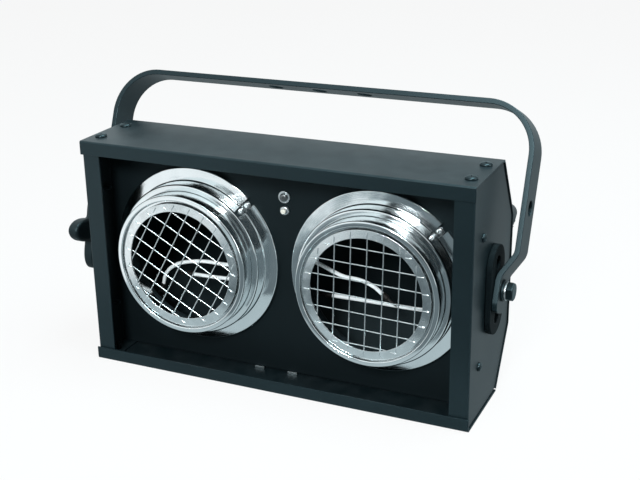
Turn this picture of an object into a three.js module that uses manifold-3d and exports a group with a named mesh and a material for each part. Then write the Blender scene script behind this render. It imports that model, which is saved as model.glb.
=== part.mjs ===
// An audience blinder light for two small round lamps, shown with the lamps taken out: a black sheet
// steel housing in a tilting yoke, two chromed stepped bezels with wire guards, and the lamp leads.
// Millimetres. X runs across the front, Y runs from the front to the back and Z runs up. The origin
// is the middle of the underside.

import * as THREE from 'three';
import { mergeVertices } from 'three/addons/utils/BufferGeometryUtils.js';
import Module from 'manifold-3d';

const wasm = await Module();
wasm.setup();

// Fits
const sheet = 1.5;
const clearance = 0.3; // left between two pieces that touch
const overrun = 6; // how far a cutting solid runs past what it cuts
const bite = 0.1; // how far welded pieces sink into each other

// Housing
const housingWidth = 377;
const housingHeight = 220;
const baseDepth = 83; // of the top and the bottom
const fullDepth = 118; // at the upright part of the back
const upperFoldDrop = 59; // below the top, where the back leans in
const lowerFoldHeight = 54;
const coverOverhang = 1; // of the covers past the side plates
const topLipHeight = 13;
const bottomLipHeight = 12;
const frontFlangeWidth = 17.5;
const edgeFlangeWidth = 16;
const coverScrewInset = 10.5; // from the ends of the covers
const coverScrewDepths = [20, 61]; // behind the front
const backScrewRise = 16; // of the lower two, above the lower fold
const backScrewDrop = 37; // of the upper two, below the upper fold

// Vents in the upper slope of the back cover
const ventCount = 6; // above each lamp
const ventPitch = 18;
const ventRadius = 2.5;
const ventReach = 14; // half the straight part of a slot

// Lamp panel
const panelDepth = 39.5; // behind the front
const trayFlangeDepth = 22.5;
const lampSpacing = 184;
const openingRadius = 70;
const sideScrewDepth = 28;
const sideScrewHeights = [50, 168];
const panelScrewDepth = 43; // below the top
const panelScrewDrop = 12.7; // of the earth screw below the other
const tongueWidth = 9.7;
const tongueRise = 2.4;
const tongueCentres = [-30.6, 3.7];

// Bezels, turned about the lamp axis
const ringSheet = 1.2;
const flangeRadius = 85;
const flangeDepth = 34.5; // behind the front, as are the next two
const stepDepth = 19;
const noseDepth = 4;
const outerWallRadius = 73;
const cupWallRadius = 67;
const cupFootRadius = 70.8;
const lipRadius = 62;
const seatRadius = 55;
const notchWidth = 8;
const notchTurns = [Math.PI / 4, Math.PI * 5 / 4];
const bezelScrewPlay = 0.4; // between a head and the outer wall, past the clearance
const tabRadius = 3.9;

// Wire guards and lamp clips
const guardOuterRadius = 59.5;
const guardInnerRadius = 52;
const guardWireReach = 57;
const wireThickness = 1.3;
const wirePitch = 15;
const wiresEachSide = 3; // of the middle wire
const rearWireShift = 3.75; // of the wires behind, off the middle
const guardTurns = { left: Math.PI * 29 / 180, right: Math.PI * 1.8 / 180 };
const clipWireRadius = 1.5;
const clipDepth = 14; // behind the front of the bezel
const clipGapTurn = Math.PI / 8;

// Yoke: a flat bar bent to a U, its arms stepped in to the pivots
const yokeTilt = Math.PI * 22.3 / 180; // leaning back
const yokeLength = 162.2; // from the pivots to the outside of the bar
const yokeStepOut = 13.1; // of each arm above its step
const yokeBarWidth = 30;
const yokeThickness = 4.8;
const yokeBendRadius = 45;
const yokeFoot = 20; // below the pivots
const joggleStart = 10.7;
const joggleEnd = 32;
const yokeHoleRadius = 7;
const yokeHolePitch = 45;
const armHoleHeight = 72.7;
const pivotDepth = 59; // behind the front
const pivotRise = 0.5; // above the middle of the housing

// Pivots
const boltRadius = 5;
const pivotPlateThickness = 5;
const pivotPlateRadius = 20;
const pivotPlateReach = 21; // from the pivot to the centre of each round end
const pivotPlateHoleReach = 25.3; // from the pivot
const pivotPlateHoleRadius = 6;
const washerRadius = 9.5;
const boltWasherRadius = 8.3;
const washerThickness = 1.6;
const boltHeadAcross = 15; // over the flats
const boltHeadHeight = 5.8;
const nutHeight = 8;
const boltEndPast = 3; // the nut

// Clamp knob on the left pivot
const knobHubRadius = 12;
const knobStarPlay = 4.5; // from the arm above its step to the star
const knobStarLength = 12;
const knobCapLength = 2.5; // past the star
const knobLobeReach = 40; // from the axis
const knobWaistReach = 17; // between the lobes
const knobLobeCount = 4;
const knobTurn = Math.PI / 12; // of the front lobe, up from level
const studDepth = 22; // inside the knob

// Cable gland on the back
const glandInset = 15.5; // from the end of the housing
const glandDrop = 13.5; // below the upper fold
const glandThreadRadius = 7.7;
const glandBoreRadius = 5;
const glandHexAcross = 24;
const glandHexHeight = 6;
const glandThreadLength = 12; // each side of the hexagon
const glandNutLength = 34;
const glandNutRadius = 12;
const glandMouthRadius = 8.4;
const glandRibCount = 12;
const glandRibSize = 1.6;
const lockNutAcross = 22;
const lockNutHeight = 4;

// Terminal block and lamp leads
const blockWidth = 36;
const blockDepth = 16;
const blockHeight = 24;
const blockDrop = 6; // of its middle, below the upper panel screw
const leadRadius = 1.8;
const leadBoreDepth = 6;
const leadSpacing = 9;
const leadTail = 4; // straight, below the terminal block
const leadStep = 10.5; // between two corners of a lead
const leadDepthAxis = 8.5; // the plane that the leads hang in, behind the middle
const lugBarrelRadius = 2.8;
const lugBarrelLength = 7;
const lugGrip = 3.5; // of the barrel over the end of its lead
const lugEyeRadius = 4;
const lugEyeHoleRadius = 2.1;
const lugPlate = 1;
const lugEyeReach = 5.5; // past the barrel

// Where each lead hangs, from the terminal block to its lug, as [x, y, rise above the lamp axis]
const leadRoutes = {
  left_lead_front: [
    [-15, 8.5, 28], [-24, 8.5, 6], [-44, 8.5, -9], [-67, 8.5, -12.1], [-96, 8.5, -12.8],
    [-124, 8.5, -20.2], [-136, 8.5, -31], [-140.6, 8.5, -45.3],
  ],
  left_lead_back: [[-5, 8.5, 26], [-14, 8.5, -2], [-36, 8.5, -22], [-66.4, 8.5, -26.2], [-108.7, 8.5, -27.6]],
  right_lead_front: [
    [6, 8.5, 28], [14, 8.5, 10], [33.1, 8.5, 1.3], [51.7, 8.5, -5.3], [70, 8.5, -6.8],
    [82, 9, -11.5], [92, 10, -19.5],
  ],
  right_lead_back: [
    [24, 20, 39], [70, 28, 40], [112, 28, 38], [142, 24, 28], [157, 19, 6], [154, 17, -16],
    [140, 17, -27.5], [124.3, 17, -29.7], [79, 17, -29.8], [34, 17, -30],
  ],
};

// Screws
const coverScrew = { shankRadius: 2, headRadius: 5.5, headHeight: 2.4, length: 8.5 };
const floorScrew = { shankRadius: 2, headRadius: 4.2, headHeight: 2.2, length: 10 };
const sideScrew = { shankRadius: 2, headRadius: 4, headHeight: 2.2, length: 9.5 };
const bezelScrew = { shankRadius: 1.6, headRadius: 3.6, headHeight: 2, length: 7 };
const panelScrew = { shankRadius: 2, headRadius: 3.8, headHeight: 2.2, length: 14 };
const earthScrew = { shankRadius: 2, headRadius: 4.6, headHeight: 2.4, length: 14 };
const panelWasherRadius = 5.6;
const panelWasherThickness = 1;
const headEdgeShare = 0.45; // of a head's height, up to where its crown starts
const headCrownShare = 0.62; // of a head's radius, at the flat of the crown

// Facets
const ringSides = 40;
const holeSides = 16;
const screwSides = 10;
const leadSides = 8;
const clipSides = 6;
const clipSteps = 28;
const knobSides = 40;
const bendSteps = 7;
const roundSteps = 6;

// Places that follow from the sizes
const frontY = -baseDepth / 2;
const rearEdgeY = baseDepth / 2;
const backY = frontY + fullDepth;
const upperFoldHeight = housingHeight - upperFoldDrop;
const lampHeight = housingHeight / 2;
const seam = sheet + clearance; // from the outside of a cover to the plate behind it
const coverX = housingWidth / 2;
const sideX = coverX - coverOverhang;
const sideInnerX = sideX - sheet;
const panelX = sideInnerX - clearance;
const panelY = frontY + panelDepth;
const panelBottom = seam + sheet + clearance;
const panelTop = housingHeight - panelBottom;
const flangeY = frontY + flangeDepth;
const stepY = frontY + stepDepth;
const noseY = frontY + noseDepth;
const lampX = lampSpacing / 2;
const panelScrewHeight = housingHeight - panelScrewDepth;
const bezelScrewRadius = outerWallRadius + clearance + bezelScrew.headRadius + bezelScrewPlay;
const ringFootY = panelY - clearance;
const tabFrontY = ringFootY - ringSheet;
const guardFrontY = noseY - clearance;
const guardRearY = guardFrontY + ringSheet - 2 * bite + 2 * wireThickness;
const seatY = guardRearY + clearance;
const pivotY = frontY + pivotDepth;
const pivotHeight = housingHeight / 2 + pivotRise;
const armOuterX = sideX + clearance + pivotPlateThickness + clearance + yokeThickness;
const yokeHalfWidth = armOuterX + yokeStepOut;
const knobX = armOuterX + clearance + washerThickness + clearance;
const knobNeckLength = yokeHalfWidth + knobStarPlay - knobX;
const hexCornerShare = 1 / Math.cos(Math.PI / 6); // from half across flats to the corner radius
const glandX = coverX - glandInset;
const glandHeight = upperFoldHeight - glandDrop;
const blockFrontY = panelY + sheet + clearance;
const blockHeightAxis = panelScrewHeight - blockDrop;
const coverScrewX = coverX - coverScrewInset;

// Side view of the housing's outside as [y, z], from the bottom front corner
const sideOutline = [
  [frontY, 0],
  [rearEdgeY, 0],
  [backY, lowerFoldHeight],
  [backY, upperFoldHeight],
  [rearEdgeY, housingHeight],
  [frontY, housingHeight],
];

const unitX = new THREE.Vector3(1, 0, 0);
const unitY = new THREE.Vector3(0, 1, 0);
const unitZ = new THREE.Vector3(0, 0, 1);

const satinBlack = new THREE.MeshStandardMaterial({ color: 0x1d2528, roughness: 0.45, metalness: 0.3 });
const mattBlack = new THREE.MeshStandardMaterial({ color: 0x101315, roughness: 0.8, metalness: 0.1 });
const chrome = new THREE.MeshStandardMaterial({ color: 0xd6dcde, roughness: 0.08, metalness: 1 });
const zinc = new THREE.MeshStandardMaterial({ color: 0xb4b9ba, roughness: 0.3, metalness: 0.9 });
const blackPlastic = new THREE.MeshStandardMaterial({ color: 0x15181a, roughness: 0.55, metalness: 0 });
const whiteSleeve = new THREE.MeshStandardMaterial({ color: 0xf2f3ee, roughness: 0.6, metalness: 0 });
const ceramic = new THREE.MeshStandardMaterial({ color: 0xe8e4da, roughness: 0.5, metalness: 0 });

// Solids

function vector(x, y, z) {
  return new THREE.Vector3(x, y, z);
}

function solid(geometry) {
  if (geometry instanceof wasm.Manifold) {
    return geometry;
  }
  geometry.deleteAttribute('normal');
  geometry.deleteAttribute('uv');
  const merged = mergeVertices(geometry);
  const triangles = [];
  for (let corner = 0; corner < merged.index.count; corner += 3) {
    const triangle = [0, 1, 2].map((step) => merged.index.getX(corner + step));
    if (new Set(triangle).size === triangle.length) {
      triangles.push(...triangle);
    }
  }
  return new wasm.Manifold(new wasm.Mesh({
    numProp: 3,
    vertProperties: merged.attributes.position.array,
    triVerts: new Uint32Array(triangles),
  }));
}

function join(first, ...others) {
  return others.reduce((whole, other) => whole.add(solid(other)), solid(first));
}

function cut(first, ...tools) {
  return tools.reduce((whole, tool) => whole.subtract(solid(tool)), solid(first));
}

function block(low, high) {
  const size = vector().subVectors(high, low);
  const geometry = new THREE.BoxGeometry(size.x, size.y, size.z);
  return geometry.translate((low.x + high.x) / 2, (low.y + high.y) / 2, (low.z + high.z) / 2);
}

function rod(radius, start, end, sides = holeSides) {
  const along = vector().subVectors(end, start);
  const geometry = new THREE.CylinderGeometry(radius, radius, along.length(), sides);
  geometry.translate(0, along.length() / 2, 0);
  geometry.applyQuaternion(new THREE.Quaternion().setFromUnitVectors(unitY, along.normalize()));
  return geometry.translate(start.x, start.y, start.z);
}

// A profile of [radius, y], counterclockwise, turned about the Y axis
function turned(profile, sides = ringSides) {
  return new THREE.LatheGeometry(profile.map(([radius, y]) => new THREE.Vector2(radius, y)), sides);
}

function extruded(points, depth, basis) {
  const shape = new THREE.Shape(points.map(([across, up]) => new THREE.Vector2(across, up)));
  const geometry = new THREE.ExtrudeGeometry(shape, { depth, bevelEnabled: false });
  return geometry.applyMatrix4(basis);
}

// An outline of [y, z] carried along X
function prismAlongX(points, from, to) {
  const basis = new THREE.Matrix4().makeBasis(unitY, unitZ, unitX);
  return extruded(points, to - from, basis).translate(from, 0, 0);
}

// An outline of [x, z] carried along Y
function prismAlongY(points, from, to) {
  const basis = new THREE.Matrix4().makeBasis(unitX, unitZ, unitY.clone().negate());
  return extruded(points, to - from, basis).translate(0, to, 0);
}

// Moves each corner of a line inward, to the left of its direction, by the same distance
function offsetLine(points, distance, closed) {
  return points.map((corner, index) => {
    const last = points.length - 1;
    const before = points[index > 0 ? index - 1 : last];
    const after = points[index < last ? index + 1 : 0];
    const normals = [[before, corner], [corner, after]].map(([start, end]) => (
      new THREE.Vector2(start[1] - end[1], end[0] - start[0]).normalize()
    ));
    if (!closed && index === 0) {
      normals[0] = normals[1];
    }
    if (!closed && index === last) {
      normals[1] = normals[0];
    }
    const share = distance / (1 + normals[0].dot(normals[1]));
    return [
      corner[0] + (normals[0].x + normals[1].x) * share,
      corner[1] + (normals[0].y + normals[1].y) * share,
    ];
  });
}

// A slot outline whose round ends lie the same reach above and below its middle
function obround(across, up, reach, radius) {
  const points = [];
  for (const end of [1, -1]) {
    for (let step = 0; step <= roundSteps; step += 1) {
      const turn = Math.PI * step / roundSteps;
      points.push([across + end * radius * Math.cos(turn), up + end * (reach + radius * Math.sin(turn))]);
    }
  }
  return points;
}

function tube(points, radius, sides, steps) {
  const path = new THREE.CatmullRomCurve3(points);
  const corners = [];
  for (let side = 0; side < sides; side += 1) {
    const turn = 2 * Math.PI * side / sides;
    corners.push(new THREE.Vector2(radius * Math.cos(turn), radius * Math.sin(turn)));
  }
  return new THREE.ExtrudeGeometry(new THREE.Shape(corners), { steps, extrudePath: path });
}

function piece(name, shape, material) {
  const mesh = solid(shape).getMesh();
  const geometry = new THREE.BufferGeometry();
  geometry.setAttribute('position', new THREE.BufferAttribute(mesh.vertProperties, mesh.numProp));
  geometry.setIndex(new THREE.BufferAttribute(mesh.triVerts, 1));
  geometry.computeVertexNormals();
  const made = new THREE.Mesh(geometry, material);
  made.name = name;
  return made;
}

function setOn(made, place, outward = unitY) {
  made.position.copy(place);
  made.quaternion.setFromUnitVectors(unitY, outward);
  return made;
}

// Screws: the seat is at zero and the head stands out along Y

function panScrew(size) {
  const crown = clearance + size.headHeight;
  return turned([
    [0, -size.length],
    [size.shankRadius, -size.length],
    [size.shankRadius, clearance],
    [size.headRadius, clearance],
    [size.headRadius, clearance + size.headHeight * headEdgeShare],
    [size.headRadius * headCrownShare, crown],
    [0, crown],
  ], screwSides);
}

// A countersunk screw whose flat head stays just inside the face
function flatScrew(size) {
  return turned([
    [0, -size.length],
    [size.shankRadius, -size.length],
    [size.shankRadius, -size.headHeight],
    [size.headRadius, -clearance],
    [0, -clearance],
  ], screwSides);
}

// The clearance hole of a countersunk screw, as wide as its head all over plus the gap
function flatScrewHole(size, place) {
  const wide = size.headRadius + clearance;
  const narrow = size.shankRadius + clearance;
  const cone = turned([
    [0, -overrun],
    [narrow, -overrun],
    [narrow, -size.headHeight],
    [wide, -clearance],
    [wide, overrun],
    [0, overrun],
  ], screwSides);
  cone.rotateX(-Math.PI / 2);
  return cone.translate(place.x, place.y, place.z);
}

function screwHole(size, place, direction) {
  const start = place.clone().addScaledVector(direction, -overrun);
  const end = place.clone().addScaledVector(direction, overrun);
  return rod(size.shankRadius + clearance, start, end, screwSides);
}

// Places of the screws, each on the face that its head sits on

function coverScrewPlaces(height) {
  return [-1, 1].flatMap((side) => (
    coverScrewDepths.map((depth) => vector(side * coverScrewX, frontY + depth, height))
  ));
}

function backScrewPlaces() {
  const heights = [lowerFoldHeight + backScrewRise, upperFoldHeight - backScrewDrop];
  return [-1, 1].flatMap((side) => heights.map((height) => vector(side * coverScrewX, backY, height)));
}

function sideScrewPlaces(side) {
  return sideScrewHeights.map((height) => vector(side * sideX, frontY + sideScrewDepth, height));
}

function panelScrewPlaces() {
  return [0, panelScrewDrop].map((drop) => vector(0, panelY, panelScrewHeight - drop));
}

// The two screws of a bezel, on its tabs
function bezelScrewPlaces(middleX) {
  return notchTurns.map((turn) => vector(
    middleX + bezelScrewRadius * Math.sin(turn),
    tabFrontY,
    lampHeight + bezelScrewRadius * Math.cos(turn),
  ));
}

// Housing

function sidePlate(side) {
  const edge = offsetLine(sideOutline, seam, true);
  const inside = offsetLine(sideOutline, seam + sheet, true);
  const flangeX = sideX - edgeFlangeWidth;
  const plate = prismAlongX(edge, sideInnerX, sideX);
  const band = cut(prismAlongX(edge, flangeX, sideX), prismAlongX(inside, flangeX - overrun, sideX + overrun));
  const front = block(
    vector(sideX - frontFlangeWidth, frontY + seam, seam),
    vector(sideX, frontY + seam + sheet, housingHeight - seam),
  );
  const pivotHole = rod(
    boltRadius + clearance,
    vector(sideX - edgeFlangeWidth, pivotY, pivotHeight),
    vector(sideX + overrun, pivotY, pivotHeight),
  );
  const whole = cut(
    join(plate, band, front),
    pivotHole,
    ...sideScrewPlaces(1).map((place) => screwHole(sideScrew, place, unitX)),
    ...coverScrewPlaces(housingHeight).map((place) => screwHole(coverScrew, place, unitZ)),
    ...coverScrewPlaces(0).map((place) => flatScrewHole(floorScrew, place)),
    ...backScrewPlaces().map((place) => screwHole(coverScrew, place, unitY)),
  );
  return side > 0 ? cut(whole, glandRelief()) : mirrored(whole);
}

// Room in the right rear flange for the gland's nut
function glandRelief() {
  const reach = lockNutAcross / 2 * hexCornerShare + 2 * clearance;
  return block(
    vector(glandX - reach, backY - seam - sheet - clearance, glandHeight - reach),
    vector(Math.min(glandX + reach, sideInnerX), backY, glandHeight + reach),
  );
}

function mirrored(whole) {
  const mesh = whole.getMesh();
  const corners = mesh.vertProperties.map((value, index) => (index % mesh.numProp === 0 ? -value : value));
  const triangles = mesh.triVerts.slice();
  for (let corner = 0; corner < triangles.length; corner += 3) {
    [triangles[corner], triangles[corner + 1]] = [triangles[corner + 1], triangles[corner]];
  }
  return new wasm.Manifold(new wasm.Mesh({
    numProp: mesh.numProp,
    vertProperties: corners,
    triVerts: triangles,
  }));
}

function topCover() {
  const outline = [
    [frontY, housingHeight - topLipHeight],
    [frontY + sheet, housingHeight - topLipHeight],
    [frontY + sheet, housingHeight - sheet],
    [rearEdgeY, housingHeight - sheet],
    [rearEdgeY, housingHeight],
    [frontY, housingHeight],
  ];
  return cut(
    prismAlongX(outline, -coverX, coverX),
    ...coverScrewPlaces(housingHeight).map((place) => screwHole(coverScrew, place, unitZ)),
  );
}

function bottomCover() {
  const outline = [
    [frontY, 0],
    [rearEdgeY, 0],
    [rearEdgeY, sheet],
    [frontY + sheet, sheet],
    [frontY + sheet, bottomLipHeight],
    [frontY, bottomLipHeight],
  ];
  const tongues = tongueCentres.map((middle) => block(
    vector(middle - tongueWidth / 2, panelY - clearance - sheet, sheet - bite),
    vector(middle + tongueWidth / 2, panelY - clearance, sheet + tongueRise),
  ));
  return cut(
    join(prismAlongX(outline, -coverX, coverX), ...tongues),
    ...coverScrewPlaces(0).map((place) => flatScrewHole(floorScrew, place)),
  );
}

function backCover() {
  const outside = sideOutline.slice(1, -1);
  const inside = offsetLine(sideOutline, sheet, true).slice(1, -1);
  const bent = prismAlongX([...outside, ...inside.reverse()], -coverX, coverX);
  const between = block(
    vector(-coverX - overrun, frontY, seam),
    vector(coverX + overrun, backY + overrun, housingHeight - seam),
  );
  const trims = [-1, 1].map((side) => block(
    vector(Math.min(side * sideX, side * (coverX + overrun)), frontY, -overrun),
    vector(Math.max(side * sideX, side * (coverX + overrun)), backY + overrun, lowerFoldHeight),
  ));
  const rise = housingHeight - upperFoldHeight;
  const lean = Math.atan2(backY - rearEdgeY, rise);
  const vents = [-1, 1].flatMap((side) => ventPlaces().map((across) => (
    prismAlongY(obround(side * lampX + across, 0, ventReach, ventRadius), -overrun, overrun)
      .rotateX(lean)
      .translate(0, (backY + rearEdgeY) / 2, upperFoldHeight + rise / 2)
  )));
  const glandHole = rod(
    glandThreadRadius + clearance,
    vector(glandX, backY - overrun, glandHeight),
    vector(glandX, backY + overrun, glandHeight),
  );
  return cut(
    solid(bent).intersect(solid(between)),
    ...trims,
    ...vents,
    glandHole,
    ...backScrewPlaces().map((place) => screwHole(coverScrew, place, unitY)),
  );
}

function ventPlaces() {
  return Array.from({ length: ventCount }, (_, index) => (index - (ventCount - 1) / 2) * ventPitch);
}

function lampPanel() {
  const face = block(vector(-panelX, panelY, panelBottom), vector(panelX, panelY + sheet, panelTop));
  const sides = [-1, 1].map((side) => block(
    vector(Math.min(side * panelX, side * (panelX - sheet)), panelY - trayFlangeDepth, panelBottom),
    vector(Math.max(side * panelX, side * (panelX - sheet)), panelY + sheet, panelTop),
  ));
  const openings = [-1, 1].map((side) => rod(
    openingRadius,
    vector(side * lampX, panelY - overrun, lampHeight),
    vector(side * lampX, panelY + overrun, lampHeight),
    ringSides,
  ));
  return cut(
    join(face, ...sides),
    ...openings,
    ...[-1, 1].flatMap(sideScrewPlaces).map((place) => screwHole(sideScrew, place, unitX)),
    ...[-1, 1].flatMap((side) => bezelScrewPlaces(side * lampX)).map((place) => (
      screwHole(bezelScrew, place, unitY)
    )),
    ...panelScrewPlaces().map((place) => screwHole(panelScrew, place, unitY)),
  );
}

// Bezels, in their own frame with the lamp axis at zero

// The notched flange, its rim and the outer step, spun from one sheet
function outerBezel() {
  const wallInside = outerWallRadius - ringSheet;
  const spun = turned([
    [flangeRadius, flangeY],
    [flangeRadius, ringFootY],
    [flangeRadius - ringSheet, ringFootY],
    [flangeRadius - ringSheet, flangeY + ringSheet],
    [outerWallRadius, flangeY + ringSheet],
    [outerWallRadius, ringFootY],
    [wallInside, ringFootY],
    [wallInside, stepY + ringSheet],
    [cupWallRadius + clearance, stepY + ringSheet],
    [cupWallRadius + clearance, stepY],
    [outerWallRadius, stepY],
    [outerWallRadius, flangeY],
    [flangeRadius, flangeY],
  ]);
  const notches = notchTurns.map((turn) => block(
    vector(-notchWidth / 2, flangeY - overrun, outerWallRadius + clearance),
    vector(notchWidth / 2, ringFootY + overrun, flangeRadius + overrun),
  ).rotateY(turn));
  const tabs = notchTurns.flatMap((turn) => [
    block(
      vector(-tabRadius, tabFrontY, outerWallRadius - ringSheet / 2),
      vector(tabRadius, ringFootY, bezelScrewRadius),
    ),
    rod(tabRadius, vector(0, tabFrontY, bezelScrewRadius), vector(0, ringFootY, bezelScrewRadius)),
  ].map((tab) => tab.rotateY(turn)));
  const holes = notchTurns.map((turn) => rod(
    bezelScrew.shankRadius + clearance,
    vector(0, tabFrontY - clearance, bezelScrewRadius),
    vector(0, ringFootY + clearance, bezelScrewRadius),
    screwSides,
  ).rotateY(turn));
  return cut(join(cut(spun, ...notches), ...tabs), ...holes);
}

// The cup that holds the lamp and its guard
function lampCup() {
  const wallInside = cupWallRadius - ringSheet;
  const footY = stepY + ringSheet + clearance;
  return turned([
    [cupWallRadius, noseY],
    [cupWallRadius, footY],
    [cupFootRadius, footY],
    [cupFootRadius, footY + ringSheet],
    [wallInside, footY + ringSheet],
    [wallInside, noseY + ringSheet],
    [lipRadius + ringSheet, noseY + ringSheet],
    [lipRadius + ringSheet, seatY + ringSheet],
    [seatRadius, seatY + ringSheet],
    [seatRadius, seatY],
    [lipRadius, seatY],
    [lipRadius, noseY],
    [cupWallRadius, noseY],
  ]);
}

// A flat ring with a grid of wires welded behind it, in two layers
function wireGuard(turn) {
  const ringRearY = guardFrontY + ringSheet;
  const ring = turned([
    [guardOuterRadius, guardFrontY],
    [guardOuterRadius, ringRearY],
    [guardInnerRadius, ringRearY],
    [guardInnerRadius, guardFrontY],
    [guardOuterRadius, guardFrontY],
  ]);
  const wires = [];
  for (let place = -wiresEachSide; place <= wiresEachSide; place += 1) {
    for (const layer of [0, 1]) {
      const aside = place * wirePitch + layer * rearWireShift;
      const reach = Math.sqrt(guardWireReach ** 2 - aside ** 2);
      const layerY = ringRearY - bite + layer * (wireThickness - bite);
      const wire = block(
        vector(aside - wireThickness / 2, layerY, -reach),
        vector(aside + wireThickness / 2, layerY + wireThickness, reach),
      );
      wires.push(wire.rotateY(turn + layer * Math.PI / 2));
    }
  }
  return join(ring, ...wires);
}

// An open spring ring that holds the lamp in its cup
function lampClip() {
  const radius = cupWallRadius - ringSheet - clearance - clipWireRadius;
  const points = Array.from({ length: clipSteps + 1 }, (_, index) => {
    const turn = clipGapTurn + 2 * (Math.PI - clipGapTurn) * index / clipSteps;
    return vector(radius * Math.sin(turn), noseY + clipDepth, -radius * Math.cos(turn));
  });
  return tube(points, clipWireRadius, clipSides, clipSteps);
}

// Yoke, in its own frame with the pivots at zero and the bar straight up

function yokeOutline() {
  const right = [
    [armOuterX, -yokeFoot],
    [armOuterX, joggleStart],
    [yokeHalfWidth, joggleEnd],
  ];
  for (let step = 0; step <= bendSteps; step += 1) {
    const turn = Math.PI / 2 * step / bendSteps;
    right.push([
      yokeHalfWidth - yokeBendRadius * (1 - Math.cos(turn)),
      yokeLength - yokeBendRadius * (1 - Math.sin(turn)),
    ]);
  }
  const outside = [...right, ...right.map(([across, up]) => [-across, up]).reverse()];
  return [...outside, ...offsetLine(outside, yokeThickness, false).reverse()];
}

function yoke() {
  const bar = prismAlongY(yokeOutline(), -yokeBarWidth / 2, yokeBarWidth / 2);
  const topHoles = [-1, 0, 1].map((place) => rod(
    yokeHoleRadius,
    vector(place * yokeHolePitch, 0, yokeLength - yokeThickness - overrun),
    vector(place * yokeHolePitch, 0, yokeLength + overrun),
  ));
  const acrossHoles = [[yokeHoleRadius, armHoleHeight], [boltRadius + 2 * clearance, 0]].map(([radius, up]) => (
    rod(radius, vector(-yokeHalfWidth - overrun, 0, up), vector(yokeHalfWidth + overrun, 0, up))
  ));
  return cut(bar, ...topHoles, ...acrossHoles);
}

// Pivots

// The spacer plate between the housing and the arm
function pivotPlate(side) {
  const near = side * (sideX + clearance);
  const far = side * (sideX + clearance + pivotPlateThickness);
  const plate = prismAlongX(
    obround(pivotY, pivotHeight, pivotPlateReach, pivotPlateRadius),
    Math.min(near, far),
    Math.max(near, far),
  );
  const across = (radius, height) => rod(
    radius,
    vector(near - side * overrun, pivotY, height),
    vector(far + side * overrun, pivotY, height),
  );
  return cut(
    plate,
    across(boltRadius + clearance, pivotHeight),
    across(pivotPlateHoleRadius, pivotHeight - pivotPlateHoleReach),
    across(pivotPlateHoleRadius, pivotHeight + pivotPlateHoleReach),
  );
}

// A washer whose near face is at zero, standing along Y
function washer(radius, holeRadius, thickness) {
  const near = vector(0, 0, 0);
  return cut(
    rod(radius, near, vector(0, thickness, 0)),
    rod(holeRadius, vector(0, -overrun, 0), vector(0, thickness + overrun, 0)),
  );
}

function hexagon(across, from, to) {
  return rod(across / 2 * hexCornerShare, vector(0, from, 0), vector(0, to, 0), 6);
}

const pivotNutX = sideInnerX - clearance; // the outer face of the nut inside the housing
const boltEndX = pivotNutX - nutHeight - boltEndPast;
const boltHeadX = armOuterX + 2 * washerThickness + 3 * clearance;

// The bolt of the right pivot, its head's seat at zero
function pivotBolt() {
  const shank = rod(boltRadius, vector(0, boltEndX - boltHeadX, 0), vector(0, bite, 0));
  return join(hexagon(boltHeadAcross, 0, boltHeadHeight), shank);
}

function pivotNut() {
  return cut(
    hexagon(boltHeadAcross, -nutHeight, 0),
    rod(boltRadius + clearance, vector(0, -nutHeight - overrun, 0), vector(0, overrun, 0)),
  );
}

// The star of the clamp knob, in a plane through its axis
function starOutline() {
  const middle = (knobLobeReach + knobWaistReach) / 2;
  const swing = (knobLobeReach - knobWaistReach) / 2;
  return Array.from({ length: knobSides }, (_, index) => {
    const turn = 2 * Math.PI * index / knobSides;
    const reach = middle + swing * Math.cos(knobLobeCount * turn);
    return [reach * Math.cos(turn), reach * Math.sin(turn)];
  });
}

// The clamp knob, its foot at zero
function clampKnob() {
  const starEnd = knobNeckLength + knobStarLength;
  const hub = rod(knobHubRadius, vector(0, 0, 0), vector(0, starEnd + knobCapLength, 0));
  const star = prismAlongY(starOutline(), knobNeckLength, starEnd);
  return cut(join(hub, star), rod(boltRadius + clearance, vector(0, -overrun, 0), vector(0, studDepth, 0)));
}

// The steel stud in the knob, its zero at the knob's foot
function knobStud() {
  return rod(boltRadius, vector(0, boltEndX - knobX, 0), vector(0, studDepth - clearance, 0));
}

// Cable gland, in its own frame with the outside of the back at zero

function glandBody() {
  const threadEnd = glandHexHeight + glandThreadLength;
  return cut(
    join(
      hexagon(glandHexAcross, clearance, glandHexHeight),
      rod(glandThreadRadius, vector(0, -sheet - glandThreadLength, 0), vector(0, threadEnd, 0)),
    ),
    rod(glandBoreRadius, vector(0, -sheet - glandThreadLength - overrun, 0), vector(0, threadEnd + overrun, 0)),
  );
}

function glandNut() {
  const foot = glandHexHeight + clearance;
  const shoulder = foot + glandThreadLength;
  const mouth = foot + glandNutLength;
  const nut = turned([
    [glandNutRadius, foot],
    [glandNutRadius, shoulder + clearance],
    [glandMouthRadius, mouth],
    [glandBoreRadius, mouth],
    [glandBoreRadius, shoulder + clearance],
    [glandThreadRadius + clearance, shoulder],
    [glandThreadRadius + clearance, foot],
    [glandNutRadius, foot],
  ], 2 * screwSides);
  const ribs = Array.from({ length: glandRibCount }, (_, index) => block(
    vector(-glandRibSize / 2, foot, glandNutRadius - glandRibSize),
    vector(glandRibSize / 2, shoulder, glandNutRadius + glandRibSize / 2),
  ).rotateY(2 * Math.PI * index / glandRibCount));
  return join(nut, ...ribs);
}

function lockNut() {
  const face = -sheet - clearance;
  return cut(
    hexagon(lockNutAcross, face - lockNutHeight, face),
    rod(glandThreadRadius + clearance, vector(0, face - lockNutHeight - overrun, 0), vector(0, overrun, 0)),
  );
}

// Terminal block and leads

function leadMouth(place) {
  const middle = (Object.keys(leadRoutes).length - 1) / 2;
  return vector((place - middle) * leadSpacing, leadDepthAxis, blockHeightAxis - blockHeight / 2);
}

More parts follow.
